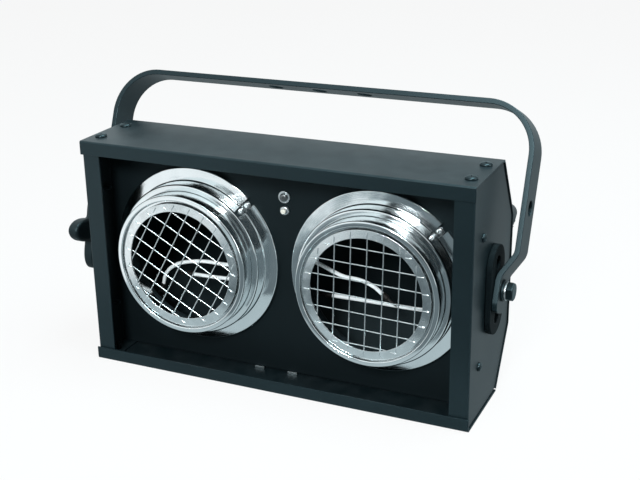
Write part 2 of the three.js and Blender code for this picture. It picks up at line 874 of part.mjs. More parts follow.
function terminalBlock() {
  const low = vector(-blockWidth / 2, blockFrontY, blockHeightAxis - blockHeight / 2);
  const high = vector(blockWidth / 2, blockFrontY + blockDepth, blockHeightAxis + blockHeight / 2);
  const entries = Object.keys(leadRoutes).map((_, place) => {
    const mouth = leadMouth(place);
    return rod(
      leadRadius + clearance,
      mouth.clone().setZ(mouth.z - overrun),
      mouth.clone().setZ(mouth.z + leadBoreDepth),
      screwSides,
    );
  });
  const fixings = panelScrewPlaces().map((place) => rod(
    panelScrew.shankRadius + clearance,
    vector(place.x, blockFrontY - overrun, place.z),
    vector(place.x, blockFrontY + blockDepth + overrun, place.z),
    screwSides,
  ));
  return cut(block(low, high), ...entries, ...fixings);
}

function leadPoints(name, place) {
  const mouth = leadMouth(place);
  const start = mouth.clone().setZ(mouth.z + leadBoreDepth - clearance);
  const tail = mouth.clone().setZ(mouth.z - leadTail);
  const route = leadRoutes[name].map(([x, y, rise]) => vector(x, y, lampHeight + rise));
  return [start, mouth, tail, ...route];
}

function lead(points) {
  const length = new THREE.CatmullRomCurve3(points).getLength();
  return tube(points, leadRadius, leadSides, Math.round(length / leadStep));
}

// A ring lug, the mouth of its barrel at zero
function leadLug() {
  const eyeY = lugBarrelLength + lugEyeReach;
  const thin = lugPlate / 2;
  return cut(
    join(
      rod(lugBarrelRadius, vector(0, 0, 0), vector(0, lugBarrelLength, 0), screwSides),
      block(vector(-lugBarrelRadius, lugBarrelLength - bite, -thin), vector(lugBarrelRadius, eyeY, thin)),
      rod(lugEyeRadius, vector(0, eyeY, -thin), vector(0, eyeY, thin), screwSides),
    ),
    rod(leadRadius + clearance, vector(0, -overrun, 0), vector(0, lugGrip + clearance, 0), screwSides),
    rod(lugEyeHoleRadius, vector(0, eyeY, -overrun), vector(0, eyeY, overrun), screwSides),
  );
}

// Assembly

const light = new THREE.Group();
const sides = [['left', -1], ['right', 1]];

function addHousing() {
  for (const [name, side] of sides) {
    light.add(piece(`${name}_side_plate`, sidePlate(side), satinBlack));
    sideScrewPlaces(side).forEach((place, index) => light.add(setOn(
      piece(`${name}_side_screw_${index + 1}`, panScrew(sideScrew), satinBlack),
      place,
      unitX.clone().multiplyScalar(side),
    )));
  }
  light.add(piece('top_cover', topCover(), satinBlack));
  light.add(piece('bottom_cover', bottomCover(), satinBlack));
  light.add(piece('back_cover', backCover(), satinBlack));
  light.add(piece('lamp_panel', lampPanel(), mattBlack));
  coverScrewPlaces(housingHeight).forEach((place, index) => light.add(
    setOn(piece(`top_screw_${index + 1}`, panScrew(coverScrew), satinBlack), place, unitZ),
  ));
  coverScrewPlaces(0).forEach((place, index) => light.add(setOn(
    piece(`bottom_screw_${index + 1}`, flatScrew(floorScrew), satinBlack),
    place,
    unitZ.clone().negate(),
  )));
  backScrewPlaces().forEach((place, index) => light.add(
    setOn(piece(`back_screw_${index + 1}`, panScrew(coverScrew), satinBlack), place, unitY),
  ));
}

function addPanelScrews() {
  const [upper, lower] = panelScrewPlaces();
  const front = unitY.clone().negate();
  const washerHole = panelScrew.shankRadius + clearance;
  light.add(setOn(
    piece('panel_washer', washer(panelWasherRadius, washerHole, panelWasherThickness), zinc),
    upper.clone().setY(upper.y - clearance),
    front,
  ));
  light.add(setOn(
    piece('panel_screw', panScrew(panelScrew), satinBlack),
    upper.clone().setY(upper.y - clearance - panelWasherThickness),
    front,
  ));
  light.add(setOn(piece('earth_screw', panScrew(earthScrew), zinc), lower, front));
}

function addLamp(name, side) {
  const lamp = new THREE.Group();
  lamp.position.set(side * lampX, 0, lampHeight);
  lamp.add(piece(`${name}_outer_bezel`, outerBezel(), chrome));
  lamp.add(piece(`${name}_lamp_cup`, lampCup(), chrome));
  lamp.add(piece(`${name}_wire_guard`, wireGuard(guardTurns[name]), chrome));
  lamp.add(piece(`${name}_lamp_clip`, lampClip(), zinc));
  bezelScrewPlaces(0).forEach((place, index) => lamp.add(setOn(
    piece(`${name}_bezel_screw_${index + 1}`, panScrew(bezelScrew), zinc),
    place.setZ(place.z - lampHeight),
    unitY.clone().negate(),
  )));
  light.add(lamp);
}

function addYoke() {
  const frame = new THREE.Group();
  frame.position.set(0, pivotY, pivotHeight);
  frame.rotation.x = -yokeTilt;
  frame.add(piece('yoke', yoke(), satinBlack));
  light.add(frame);
}

function addPivots() {
  const onAxis = (x) => vector(x, pivotY, pivotHeight);
  const holeRadius = boltRadius + clearance;
  for (const [name, side] of sides) {
    const outward = unitX.clone().multiplyScalar(side);
    light.add(piece(`${name}_pivot_plate`, pivotPlate(side), satinBlack));
    light.add(setOn(piece(`${name}_pivot_nut`, pivotNut(), zinc), onAxis(side * pivotNutX), outward));
    light.add(setOn(
      piece(`${name}_pivot_washer`, washer(washerRadius, holeRadius, washerThickness), satinBlack),
      onAxis(side * (armOuterX + clearance)),
      outward,
    ));
  }
  light.add(setOn(
    piece('bolt_washer', washer(boltWasherRadius, holeRadius, washerThickness), zinc),
    onAxis(armOuterX + washerThickness + 2 * clearance),
    unitX,
  ));
  light.add(setOn(piece('pivot_bolt', pivotBolt(), satinBlack), onAxis(boltHeadX), unitX));
  const left = unitX.clone().negate();
  const knob = setOn(piece('clamp_knob', clampKnob(), blackPlastic), onAxis(-knobX), left);
  light.add(knob.rotateY(knobTurn));
  light.add(setOn(piece('knob_stud', knobStud(), zinc), onAxis(-knobX), left));
}

function addGland() {
  const gland = new THREE.Group();
  gland.position.set(glandX, backY, glandHeight);
  gland.add(piece('gland_body', glandBody(), blackPlastic));
  gland.add(piece('gland_nut', glandNut(), blackPlastic));
  gland.add(piece('gland_lock_nut', lockNut(), blackPlastic));
  light.add(gland);
}

function addLeads() {
  light.add(piece('terminal_block', terminalBlock(), ceramic));
  Object.keys(leadRoutes).forEach((name, place) => {
    const points = leadPoints(name, place);
    light.add(piece(name, lead(points), whiteSleeve));
    const end = points.at(-1).clone();
    const onward = vector().subVectors(end, points.at(-2)).normalize();
    end.addScaledVector(onward, -lugGrip);
    light.add(setOn(piece(`${name}_lug`, leadLug(), zinc), end, onward));
  });
}

addHousing();
addPanelScrews();
sides.forEach(([name, side]) => addLamp(name, side));
addYoke();
addPivots();
addGland();
addLeads();

export default light;
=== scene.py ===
"""Audience blinder light with its two lamps taken out: the visible pieces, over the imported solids.

Everything is in metres. X runs across the front, Y from the front to the back and Z up.
"""

import math
from itertools import accumulate

import bmesh
import bpy
from mathutils import Matrix, Vector


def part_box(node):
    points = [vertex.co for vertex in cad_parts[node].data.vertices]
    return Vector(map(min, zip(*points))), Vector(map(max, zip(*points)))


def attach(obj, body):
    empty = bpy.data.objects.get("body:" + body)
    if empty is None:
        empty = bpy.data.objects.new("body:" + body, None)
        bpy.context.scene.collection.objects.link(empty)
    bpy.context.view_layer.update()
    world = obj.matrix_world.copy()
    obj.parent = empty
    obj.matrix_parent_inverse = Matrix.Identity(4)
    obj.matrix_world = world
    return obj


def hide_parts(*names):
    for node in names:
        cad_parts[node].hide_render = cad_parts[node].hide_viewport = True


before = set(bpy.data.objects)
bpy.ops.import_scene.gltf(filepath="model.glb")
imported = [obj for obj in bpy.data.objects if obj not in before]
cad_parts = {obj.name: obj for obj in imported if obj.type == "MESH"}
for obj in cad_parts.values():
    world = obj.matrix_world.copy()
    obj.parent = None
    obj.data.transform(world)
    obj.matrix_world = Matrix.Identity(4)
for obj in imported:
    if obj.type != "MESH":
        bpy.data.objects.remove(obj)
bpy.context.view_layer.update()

bl_info = {
    "name": "Audience Blinder Light",
    "version": (1, 0, 0),
    "blender": (4, 5, 0),
    "location": "3D View > Sidebar > Blinder",
    "description": "Builds the sheet steel housing, chrome bezels, yoke and leads of a two-lamp blinder",
    "category": "Object",
}

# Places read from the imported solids
TOP_LOW, TOP_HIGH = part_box("top_cover")
PANEL_LOW, PANEL_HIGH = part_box("lamp_panel")
CUP_LOW, CUP_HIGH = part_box("right_lamp_cup")
HALF_WIDTH = TOP_HIGH.x
FRONT = TOP_LOW.y
REAR_EDGE = TOP_HIGH.y
HEIGHT = TOP_HIGH.z
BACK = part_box("back_cover")[1].y
HOUSING_MIDDLE = Vector((0, 0, HEIGHT / 2))
SIDE_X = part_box("right_side_plate")[1].x
GUARD_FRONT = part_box("right_wire_guard")[0].y
LAMP_X = (CUP_LOW.x + CUP_HIGH.x) / 2
LAMP_Z = (CUP_LOW.z + CUP_HIGH.z) / 2

# Sheet steel
SHEET = 0.0015
GAP = 0.0003
SEAM = SHEET + GAP
PAST = 0.006  # how far a cutting shape runs past what it cuts
EDGE_ANGLE = math.radians(35)  # sharper corners than this are rounded
FINE_EDGE = 0.0001
RING_EDGE = 0.0002
SOFT_EDGE = 0.0004
DISC_EDGE = 0.0005
BAR_EDGE = 0.0006
LOWER_FOLD = 0.054
UPPER_FOLD = 0.161
SIDE_FLANGE = 0.016
FRONT_FLANGE = 0.0175
BOTTOM_LIP = 0.012
TONGUE_WIDTH = 0.0097
TONGUE_RISE = 0.0024
TONGUE_PLACES = (-0.0306, 0.0037)
PANEL_SCREW_Z = HEIGHT - 0.043
EARTH_SCREW_Z = HEIGHT - 0.0557
PANEL_FRONT = PANEL_HIGH.y - SHEET
OPENING_RADIUS = 0.070
VENT_COUNT = 6
VENT_PITCH = 0.018
VENT_RADIUS = 0.0025
VENT_REACH = 0.014

# Bezels, cups and guards, as radii from the lamp's axis and depths
RING_SHEET = 0.0012
FLANGE_RADIUS = 0.085
OUTER_WALL = 0.073
CUP_WALL = 0.067
CUP_FOOT = 0.0708
LIP_RADIUS = 0.062
SEAT_RADIUS = 0.055
FLANGE_Y = FRONT + 0.0345
STEP_Y = FRONT + 0.019
NOSE_Y = FRONT + 0.004
FOOT_Y = PANEL_FRONT - GAP
NOTCH_TURNS = (math.radians(45), math.radians(225))
NOTCH_WIDTH = 0.008
TAB_RADIUS = 0.0039
TAB_SCREW_RADIUS = 0.0773
DISH = 0.0005  # how far the flange's rim stands back
GUARD_OUTER = 0.0595
GUARD_INNER = 0.052
GUARD_WIRE_REACH = 0.057
GUARD_PITCH = 0.015
GUARD_WIRES_EACH_SIDE = 3
GUARD_REAR_SHIFT = 0.00375
WIRE_SINK = 0.0001  # how far touching wires sink into each other
WELD_RADIUS = 0.0005
WELD_INWARD = 0.0045
WELD_OUTWARD = 0.001
GUARD_TURNS = {"left": math.radians(29), "right": math.radians(1.8)}
SEAT_Y = NOSE_Y + RING_SHEET + 0.0024
CLIP_WIRE = 0.0015
CLIP_DEPTH = 0.014
CLIP_GAP = math.radians(22.5)

# Yoke and pivots
YOKE_TILT = math.radians(22.3)
YOKE_LENGTH = 0.1622
YOKE_HALF_WIDTH = 0.211
YOKE_BAR = 0.030
YOKE_FOOT = 0.020
YOKE_JOGGLE = (0.0107, 0.032)
YOKE_THICKNESS = 0.0048
YOKE_JOGGLE_BEND = 0.004
YOKE_FOOT_ROUNDING = 0.009
YOKE_BORE = 0.0056
YOKE_HOLE = 0.007
YOKE_HOLE_PITCH = 0.045
ARM_HOLE_RISE = 0.0727
PIVOT = Vector((0, FRONT + 0.059, HEIGHT / 2 + 0.0005))
BOLT_RADIUS = 0.005
PIVOT_BORE = 0.0053
NUT_X = SIDE_X - SEAM
PLATE_THICKNESS = 0.005
PLATE_RADIUS = 0.020
PLATE_REACH = 0.021
PLATE_HOLE_REACH = 0.0253
PLATE_HOLE = 0.006
WASHER = 0.0016
ARM_WASHER_RADIUS = 0.0095
BRIGHT_WASHER_RADIUS = 0.0083
BOLT_HEAD = 0.0058
NUT_HEIGHT = 0.008
HEX_CORNER = 1 / math.cos(math.radians(30))
NUT_CORNER = 0.0075 * HEX_CORNER
HUB_RADIUS = 0.012
HUB_FLARE = 0.0155
KNOB_LOBES = 4
KNOB_TURN = math.radians(15)
KNOB_REACH = 0.0285  # midway between a lobe's tip and the hollow beside it
KNOB_WAVE = 0.0115
KNOB_NECK = 0.0154
KNOB_STAR_END = 0.0274
KNOB_ROUNDING = 0.0034
KNOB_BORE_DEPTH = 0.022

# Cable gland
GLAND_HOLE = 0.008
GLAND_BORE = 0.005
GLAND_THREAD = 0.0077
GLAND_HEX = 0.012
GLAND_HEX_END = 0.006
LOCK_NUT_HEX = 0.011
DOME_WALL = 0.012
DOME_MOUTH = 0.0058
DOME_LENGTH = 0.012
SEAL_RADIUS = 0.0057
RIB_HALF_WIDTH = 0.0008

SIDES = (("left", -1), ("right", 1))
ACROSS = Vector((1, 0, 0))
REARWARD = Vector((0, 1, 0))
UP = Vector((0, 0, 1))


def length_setting(name, description, default, low, high):
    return bpy.props.FloatProperty(
        name=name, description=description, default=default, min=low, max=high, unit="LENGTH", precision=5)


def count_setting(name, description, default, low, high):
    return bpy.props.IntProperty(name=name, description=description, default=default, min=low, max=high)


def colour_setting(name, description, default):
    return bpy.props.FloatVectorProperty(
        name=name, description=description, default=default, min=0, max=1, subtype="COLOR")


class BlinderSizes(bpy.types.PropertyGroup):
    bend: length_setting("Bend", "Outer radius of the folds in the sheet steel", 0.0018, 0.0006, 0.004)
    edge: length_setting("Edge", "Rounding of cut edges", 0.0003, 0.0, 0.001)
    yoke_bend: length_setting("Yoke bend", "Outer radius of the yoke's two top corners", 0.045, 0.02, 0.06)
    ring_steps: count_setting("Ring steps", "Facets round a bezel, cup or guard ring", 144, 48, 256)
    guard_wire: length_setting("Guard wire", "Thickness of the wires of the guards", 0.0011, 0.0008, 0.002)
    lead: length_setting("Lead", "Diameter of the sleeved lamp leads", 0.0036, 0.002, 0.004)
    gland_ribs: count_setting("Gland ribs", "Grip ribs round the nut of the cable gland", 12, 6, 24)


class BlinderColours(bpy.types.PropertyGroup):
    housing: colour_setting("Housing", "Powder coat of housing, yoke and screws", (0.003, 0.0068, 0.0085))
    panel: colour_setting("Lamp panel", "Matt paint behind the bezels", (0.0016, 0.0030, 0.0038))
    chrome: colour_setting("Chrome", "Tint of the chromed bezels, cups and guards", (0.90, 0.94, 0.95))
    zinc: colour_setting("Zinc", "Plating of small screws, washers and nuts", (0.66, 0.69, 0.70))
    plastic: colour_setting("Plastic", "Clamp knob and cable gland", (0.0022, 0.0042, 0.0052))
    sleeve: colour_setting("Lead sleeve", "Sleeve of the lamp leads", (0.93, 0.95, 0.955))
    ceramic: colour_setting("Terminal block", "Unglazed ceramic", (0.66, 0.62, 0.54))
    floor: colour_setting("Floor", "The plain floor that the light stands on", (0.93, 0.93, 0.93))


def wire(bm, points, closed=False):
    verts = [bm.verts.new(point) for point in points]
    pairs = list(zip(verts, verts[1:]))
    if closed:
        pairs.append((verts[-1], verts[0]))
    for pair in pairs:
        bm.edges.new(pair)
    return verts


def rounded(bm, geom, radius, segments=4):
    """Rounds edges, or the corners of a wire."""
    affect = "VERTICES" if isinstance(geom[0], bmesh.types.BMVert) else "EDGES"
    bmesh.ops.bevel(bm, geom=geom, offset=radius, offset_type="OFFSET", affect=affect,
                    segments=segments, profile=0.5, material=-1)


def block(low, high):
    low, high = Vector(low), Vector(high)
    bm = bmesh.new()
    bmesh.ops.create_cube(bm, size=1, matrix=Matrix.LocRotScale((low + high) / 2, None, high - low))
    return bm


def rod(radius, start, end, sides=48):
    start, end = Vector(start), Vector(end)
    along = end - start
    bm = bmesh.new()
    bmesh.ops.create_cone(
        bm, cap_ends=True, cap_tris=False, segments=sides, radius1=radius, radius2=radius,
        depth=along.length,
        matrix=Matrix.LocRotScale((start + end) / 2, UP.rotation_difference(along), None))
    return bm


def peg(radius, start, end, x=0, z=0, sides=48):
    """A rod along Y."""
    return rod(radius, (x, start, z), (x, end, z), sides)


def hexagon(corner, start, end):
    """A hexagonal bar along Y with a corner up."""
    bm = peg(corner, start, end, sides=6)
    top = max(bm.verts, key=lambda vert: vert.co.z).co
    return turned(bm, -math.atan2(top.x, top.z))


def spun(profile, steps=96):
    """Turns a profile of (radius, along) or (radius, along, rounding) corners about Y.

    A profile that starts on the axis also ends on it, and any other is closed.
    """
    bm = bmesh.new()
    verts = wire(bm, [(0, along, radius) for radius, along, *_ in profile], closed=profile[0][0] > 0)
    for vert, (_, _, *rounding) in zip(verts, profile):
        if rounding:
            rounded(bm, [vert], *rounding)
    bmesh.ops.spin(bm, geom=bm.verts[:] + bm.edges[:], cent=(0, 0, 0), axis=REARWARD, angle=math.tau,
                   steps=steps, use_merge=True)
    bmesh.ops.remove_doubles(bm, verts=bm.verts[:], dist=1e-6)
    return faced_out(bm)


def faced_out(bm):
    bmesh.ops.recalc_face_normals(bm, faces=bm.faces[:])
    return bm


def stretched(bm, reach):
    """Pulls the upper and lower halves of a shape apart, so that a rod becomes a slot."""
    for vert in bm.verts:
        vert.co.z += math.copysign(reach, vert.co.z)
    return bm


def placed(bm, where, outward=REARWARD):
    """Sets a shape whose axis is Y at a place, pointing outward."""
    turn = REARWARD.rotation_difference(Vector(outward)).to_matrix().to_4x4()
    bmesh.ops.transform(bm, matrix=Matrix.Translation(where) @ turn, verts=bm.verts[:])
    return bm


def turned(bm, angle, axis="Y", about=(0, 0, 0)):
    bmesh.ops.rotate(bm, verts=bm.verts[:], cent=about, matrix=Matrix.Rotation(angle, 3, axis))
    return bm


def mirrored(bm):
    bmesh.ops.scale(bm, vec=(-1, 1, 1), verts=bm.verts[:])
    return faced_out(bm)


def mesh_of(bm, name="passing"):
    mesh = bpy.data.meshes.new(name)
    bm.to_mesh(mesh)
    bm.free()
    return mesh


def together(*shapes):
    whole, *others = shapes
    for other in others:
        mesh = mesh_of(other)
        whole.from_mesh(mesh)
        bpy.data.meshes.remove(mesh)
    return whole


def combined(operation, whole, *tools):
    """Cuts the tools out of a closed shape, welds them on, or keeps what both share."""
    helpers = [bpy.data.objects.new("passing", mesh_of(shape)) for shape in (whole, together(*tools))]
    for helper in helpers:
        bpy.context.scene.collection.objects.link(helper)
    step = helpers[0].modifiers.new("combine", "BOOLEAN")
    step.operation = operation
    step.object = helpers[1]
    step.solver = "EXACT"
    result = bmesh.new()
    result.from_object(helpers[0], bpy.context.evaluated_depsgraph_get())
    for helper in helpers:
        mesh = helper.data
        bpy.data.objects.remove(helper)
        bpy.data.meshes.remove(mesh)
    bmesh.ops.remove_doubles(result, verts=result.verts[:], dist=1e-6)
    if not result.faces:
        raise RuntimeError("nothing is left of a shape after a cut")
    return result


def cut(whole, *tools):
    return combined("DIFFERENCE", whole, *tools)


def welded(whole, *tools):
    return combined("UNION", whole, *tools)


def middle(node):
    low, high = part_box(node)
    return (low + high) / 2


def verts_of(geom):
    return [item for item in geom if isinstance(item, bmesh.types.BMVert)]


def folded(corners, along, inside, bend, thickness=SHEET):
    """A sheet whose outer face follows the corners, carried along, with its thickness towards inside."""
    bm = bmesh.new()
    wire(bm, corners)
    rounded(bm, [vert for vert in bm.verts if len(vert.link_edges) == 2], bend)
    carried = bmesh.ops.extrude_edge_only(bm, edges=bm.edges[:])["geom"]
    bmesh.ops.translate(bm, vec=along, verts=verts_of(carried))
    return thickened(bm, inside, thickness)


def thickened(bm, inside, thickness=SHEET):
    faced_out(bm)
    largest = max(bm.faces, key=lambda face: face.calc_area())
    if largest.normal.dot(largest.calc_center_median() - Vector(inside)) < 0:
        bmesh.ops.reverse_faces(bm, faces=bm.faces[:])
    bmesh.ops.solidify(bm, geom=bm.faces[:], thickness=thickness)
    return bm


def add_object(name, data):
    """A new object of the scene, in place of one of that name from an earlier run."""
    old = bpy.data.objects.get(name)
    if old:
        bpy.data.objects.remove(old)
    made = bpy.data.objects.new(name, data)
    bpy.context.scene.collection.objects.link(made)
    return made


def add_piece(name, bm, finish, *nodes, body="housing", edge=None, segments=2):
    """Puts a finished shape in the scene in place of the solids that it stands for."""
    mesh = mesh_of(bm, name)
    mesh.materials.append(finish_named(finish))
    mesh.shade_smooth()
    piece = add_object(name, mesh)
    width = bpy.context.scene.blinder_sizes.edge if edge is None else edge
    if width:
        rounding = piece.modifiers.new("rounded edges", "BEVEL")
        rounding.width = width
        rounding.segments = segments
        rounding.limit_method = "ANGLE"
        rounding.angle_limit = EDGE_ANGLE
    piece.modifiers.new("even shading", "WEIGHTED_NORMAL").keep_sharp = True
    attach(piece, body)
    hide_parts(*nodes)
    return piece


def set_inputs(tree, node, values):
    """Links or sets a node's inputs."""
    for key, value in values.items():
        if isinstance(value, bpy.types.NodeSocket):
            tree.links.new(value, node.inputs[key])
        else:
            node.inputs[key].default_value = value


def add_node(tree, kind, inputs=None, **settings):
    node = tree.nodes.new(kind)
    for key, value in settings.items():
        setattr(node, key, value)
    set_inputs(tree, node, inputs or {})
    return node


def shader_node(tree, kind, inputs=None, **settings):
    return add_node(tree, "ShaderNode" + kind, inputs, **settings)


def new_group(name, inputs, outputs):
    tree = bpy.data.node_groups.new(name, "ShaderNodeTree")
    for label, default in inputs.items():
        given = tree.interface.new_socket(label, in_out="INPUT", socket_type="NodeSocketFloat")
        given.default_value = default
    for label in outputs:
        tree.interface.new_socket(label, in_out="OUTPUT", socket_type="NodeSocketFloat")
    return tree, add_node(tree, "NodeGroupInput").outputs, add_node(tree, "NodeGroupOutput").inputs


def math_of(tree, operation, first, second=0.0):
    return shader_node(tree, "Math", {0: first, 1: second}, operation=operation).outputs[0]


def object_place(tree):
    return shader_node(tree, "TexCoord").outputs["Object"]


def face_normal(tree):
    return shader_node(tree, "NewGeometry").outputs["Normal"]


def noise(tree, place, scale, detail):
    return shader_node(tree, "TexNoise", {"Vector": place, "Scale": scale, "Detail": detail}).outputs["Fac"]


def spread(tree, value, low, high, start=0.3, end=0.7):
    """Carries a mask from start..end over to low..high."""
    return shader_node(tree, "MapRange", {
        "Value": value, "From Min": start, "From Max": end, "To Min": low, "To Max": high}).outputs["Result"]


def masked(tree, given, out, name, mask, low, high, detail):
    """Sends out a mask broken up by noise, times the group's amount."""
    patches = noise(tree, object_place(tree), given["Scale"], detail)
    held = math_of(tree, "MULTIPLY", mask, spread(tree, patches, 0, 1, low, high))
    tree.links.new(math_of(tree, "MULTIPLY", held, given["Amount"]), out[name])
    return tree


def grain_group():
    """Even fine grain and a broad unevenness, both from 0 to 1."""
    tree, given, out = new_group("Fine grain", {"Scale": 900.0, "Broad scale": 14.0}, ("Grain", "Broad"))
    place = object_place(tree)
    tree.links.new(noise(tree, place, given["Scale"], 2.0), out["Grain"])
    tree.links.new(noise(tree, place, given["Broad scale"], 4.0), out["Broad"])
    return tree


def dust_group():
    """Fine dust that settles on faces that look up."""
    tree, given, out = new_group("Settled dust", {"Amount": 0.3, "Scale": 60.0}, ("Dust",))
    height = shader_node(tree, "SeparateXYZ", {0: face_normal(tree)}).outputs["Z"]
    return masked(tree, given, out, "Dust", spread(tree, height, 0, 1, 0.3, 1.0), 0.35, 0.75, detail=6.0)


def wear_group():
    """Rubbed edges, broken up by noise."""
    tree, given, out = new_group("Edge wear", {"Amount": 0.5, "Scale": 220.0}, ("Wear",))
    softened = shader_node(tree, "Bevel", {"Radius": 0.0009}, samples=4).outputs["Normal"]
    match = shader_node(tree, "VectorMath", {0: softened, 1: face_normal(tree)}, operation="DOT_PRODUCT")
    edge = spread(tree, match.outputs["Value"], 0, 1, 0.99, 0.86)
    return masked(tree, given, out, "Wear", edge, 0.42, 0.66, detail=5.0)


def spin_marks_group():
    """Faint rings round the nearer lamp axis, as metal spinning leaves them."""
    tree, given, out = new_group("Spin marks", {"Rings": 1500.0}, ("Rings", "Ripple"))
    place = object_place(tree)
    parts = shader_node(tree, "SeparateXYZ", {0: place}).outputs
    across = math_of(tree, "SUBTRACT", math_of(tree, "ABSOLUTE", parts["X"]), LAMP_X)
    rise = math_of(tree, "SUBTRACT", parts["Z"], LAMP_Z)
    flat = shader_node(tree, "CombineXYZ", {0: across, 1: rise}).outputs[0]
    radius = shader_node(tree, "VectorMath", {0: flat}, operation="LENGTH").outputs["Value"]
    line = math_of(tree, "ADD", radius, parts["Y"])
    rings = shader_node(tree, "TexNoise", {"W": line, "Scale": given["Rings"], "Detail": 3.0},
                        noise_dimensions="1D")
    tree.links.new(rings.outputs["Fac"], out["Rings"])
    tree.links.new(noise(tree, place, 26.0, 1.5), out["Ripple"])
    return tree


GROUPS = {
    "Fine grain": grain_group,
    "Settled dust": dust_group,
    "Edge wear": wear_group,
    "Spin marks": spin_marks_group,
}


def use_group(tree, name, **values):
    group = bpy.data.node_groups.get(name) or GROUPS[name]()
    node = tree.nodes.new("ShaderNodeGroup")
    node.node_tree = group
    for key, value in values.items():
        node.inputs[key.replace("_", " ").capitalize()].default_value = value
    return node.outputs


MIX_FIRST, MIX_SECOND, MIX_COLOUR = 6, 7, 2  # the colour sockets of a mix node


def blend(tree, factor, first, second):
    mix = shader_node(tree, "Mix", {0: factor}, data_type="RGBA")
    for place, colour in ((MIX_FIRST, first), (MIX_SECOND, second)):
        set_inputs(tree, mix, {place: colour if isinstance(colour, bpy.types.NodeSocket) else (*colour, 1)})
    return mix.outputs[MIX_COLOUR]


def raised(tree, height, distance, **onto):
    inputs = {"Height": height, "Distance": distance, "Strength": 1.0, **onto}
    return shader_node(tree, "Bump", inputs).outputs["Normal"]


def scaled(colour, share):
    return tuple(min(1.0, channel * share) for channel in colour)


def painted(tree, colour, roughness, grain, bump, dust, wear):
    """Powder coat or paint on steel: fine pebbling, dust on top and rubbed corners."""
    pebbles = use_group(tree, "Fine grain", scale=grain)
    settled = use_group(tree, "Settled dust", amount=dust)["Dust"]
    rubbed = use_group(tree, "Edge wear", amount=wear)["Wear"]
    uneven = blend(tree, spread(tree, pebbles["Broad"], 0, 1), scaled(colour, 0.85), scaled(colour, 1.15))
    dusty = blend(tree, settled, uneven, (0.16, 0.19, 0.20))
    return {
        "Base Color": blend(tree, rubbed, dusty, scaled(colour, 3.2)),
        "Roughness": spread(tree, pebbles["Broad"], roughness - 0.015, roughness + 0.02),
        "Normal": raised(tree, pebbles["Grain"], bump),
        "Specular Tint": (0.66, 0.92, 1.0, 1.0),
    }


def mottled(tree, dark, light, roughness, grain, broad_grain, bump):
    """A bare surface whose tone and roughness drift over a fine grain."""
    speckle = use_group(tree, "Fine grain", scale=grain, broad_scale=broad_grain)
    return {
        "Base Color": blend(tree, spread(tree, speckle["Broad"], 0, 1), dark, light),
        "Roughness": spread(tree, speckle["Broad"], *roughness),
        "Normal": raised(tree, speckle["Grain"], bump),
    }


# Colour setting and its share, then roughness, grain, bump, dust and wear, then single values of the shader
PAINTED = {
    "satin_black": ("housing", 1, (0.40, 1500.0, 0.00003, 0.06, 0.35), {"Specular IOR Level": 0.42}),
    "matt_black": ("panel", 1, (0.60, 1900.0, 0.00003, 0.03, 0.15), {"Specular IOR Level": 0.24}),
    "black_screw": ("housing", 0.7, (0.34, 700.0, 0.00002, 0.1, 0.6), {"Metallic": 0.35}),
    "dark_zinc": ("zinc", 0.28, (0.34, 700.0, 0.00002, 0.05, 0.25), {"Metallic": 1.0}),
    "friction_disc": ("panel", 0.9, (0.72, 1500.0, 0.00004, 0.04, 0.1), {"Specular IOR Level": 0.12}),
    "black_plastic": ("plastic", 1, (0.46, 2600.0, 0.00004, 0.08, 0.2), {"Specular IOR Level": 0.34}),
    "rubber": ("plastic", 0.8, (0.75, 1200.0, 0.00003, 0.2, 0.1), {}),
}

# Colour setting, its dark and light shares, then roughness, grain, broad grain and bump, then single values
MOTTLED = {
    "bright_wire": ("chrome", 0.8, 1, ((0.14, 0.28), 1200.0, 90.0, 0.00003), {"Metallic": 1.0}),
    "zinc": ("zinc", 0.8, 1.1, ((0.2, 0.36), 1600.0, 120.0, 0.00002), {"Metallic": 1.0}),
    "ceramic": ("ceramic", 0.85, 1, ((0.55, 0.75), 1100.0, 60.0, 0.00006), {}),
}


def dark_lug(tree, colours):
    look = mottled(tree, (0.012, 0.012, 0.012), (0.035, 0.032, 0.03), (0.45, 0.65), 900.0, 150.0, 0.00003)
    return look | {"Metallic": 0.8}


def chrome(tree, colours):
    marks = use_group(tree, "Spin marks")
    grain = use_group(tree, "Fine grain", scale=300.0, broad_scale=30.0)
    tone = blend(tree, spread(tree, grain["Broad"], 0, 1), scaled(colours.chrome, 0.9), colours.chrome)
    rippled = raised(tree, marks["Ripple"], 0.0014)
    return {
        "Base Color": tone,
        "Metallic": 1.0,
        "Roughness": spread(tree, grain["Broad"], 0.05, 0.13),
        "Normal": raised(tree, marks["Rings"], 0.00003, Normal=rippled),
    }


def white_sleeve(tree, colours):
    grain = use_group(tree, "Fine grain", scale=1400.0, broad_scale=45.0)
    settled = use_group(tree, "Settled dust", amount=0.12)["Dust"]
    tone = blend(tree, spread(tree, grain["Broad"], 0, 1), scaled(colours.sleeve, 0.88), colours.sleeve)
    return {
        "Base Color": blend(tree, settled, tone, (0.45, 0.45, 0.43)),
        "Roughness": spread(tree, grain["Grain"], 0.45, 0.62),
        "Normal": raised(tree, grain["Grain"], 0.00004),
    }


def look_of(name, tree, colours):
    """The shader inputs of a finish."""
    if name in PAINTED:
        setting, share, values, single = PAINTED[name]
        return painted(tree, scaled(getattr(colours, setting), share), *values) | single
    if name in MOTTLED:
        setting, dark, light, values, single = MOTTLED[name]
        colour = getattr(colours, setting)
        return mottled(tree, scaled(colour, dark), scaled(colour, light), *values) | single
    return {"chrome": chrome, "dark_lug": dark_lug, "white_sleeve": white_sleeve}[name](tree, colours)


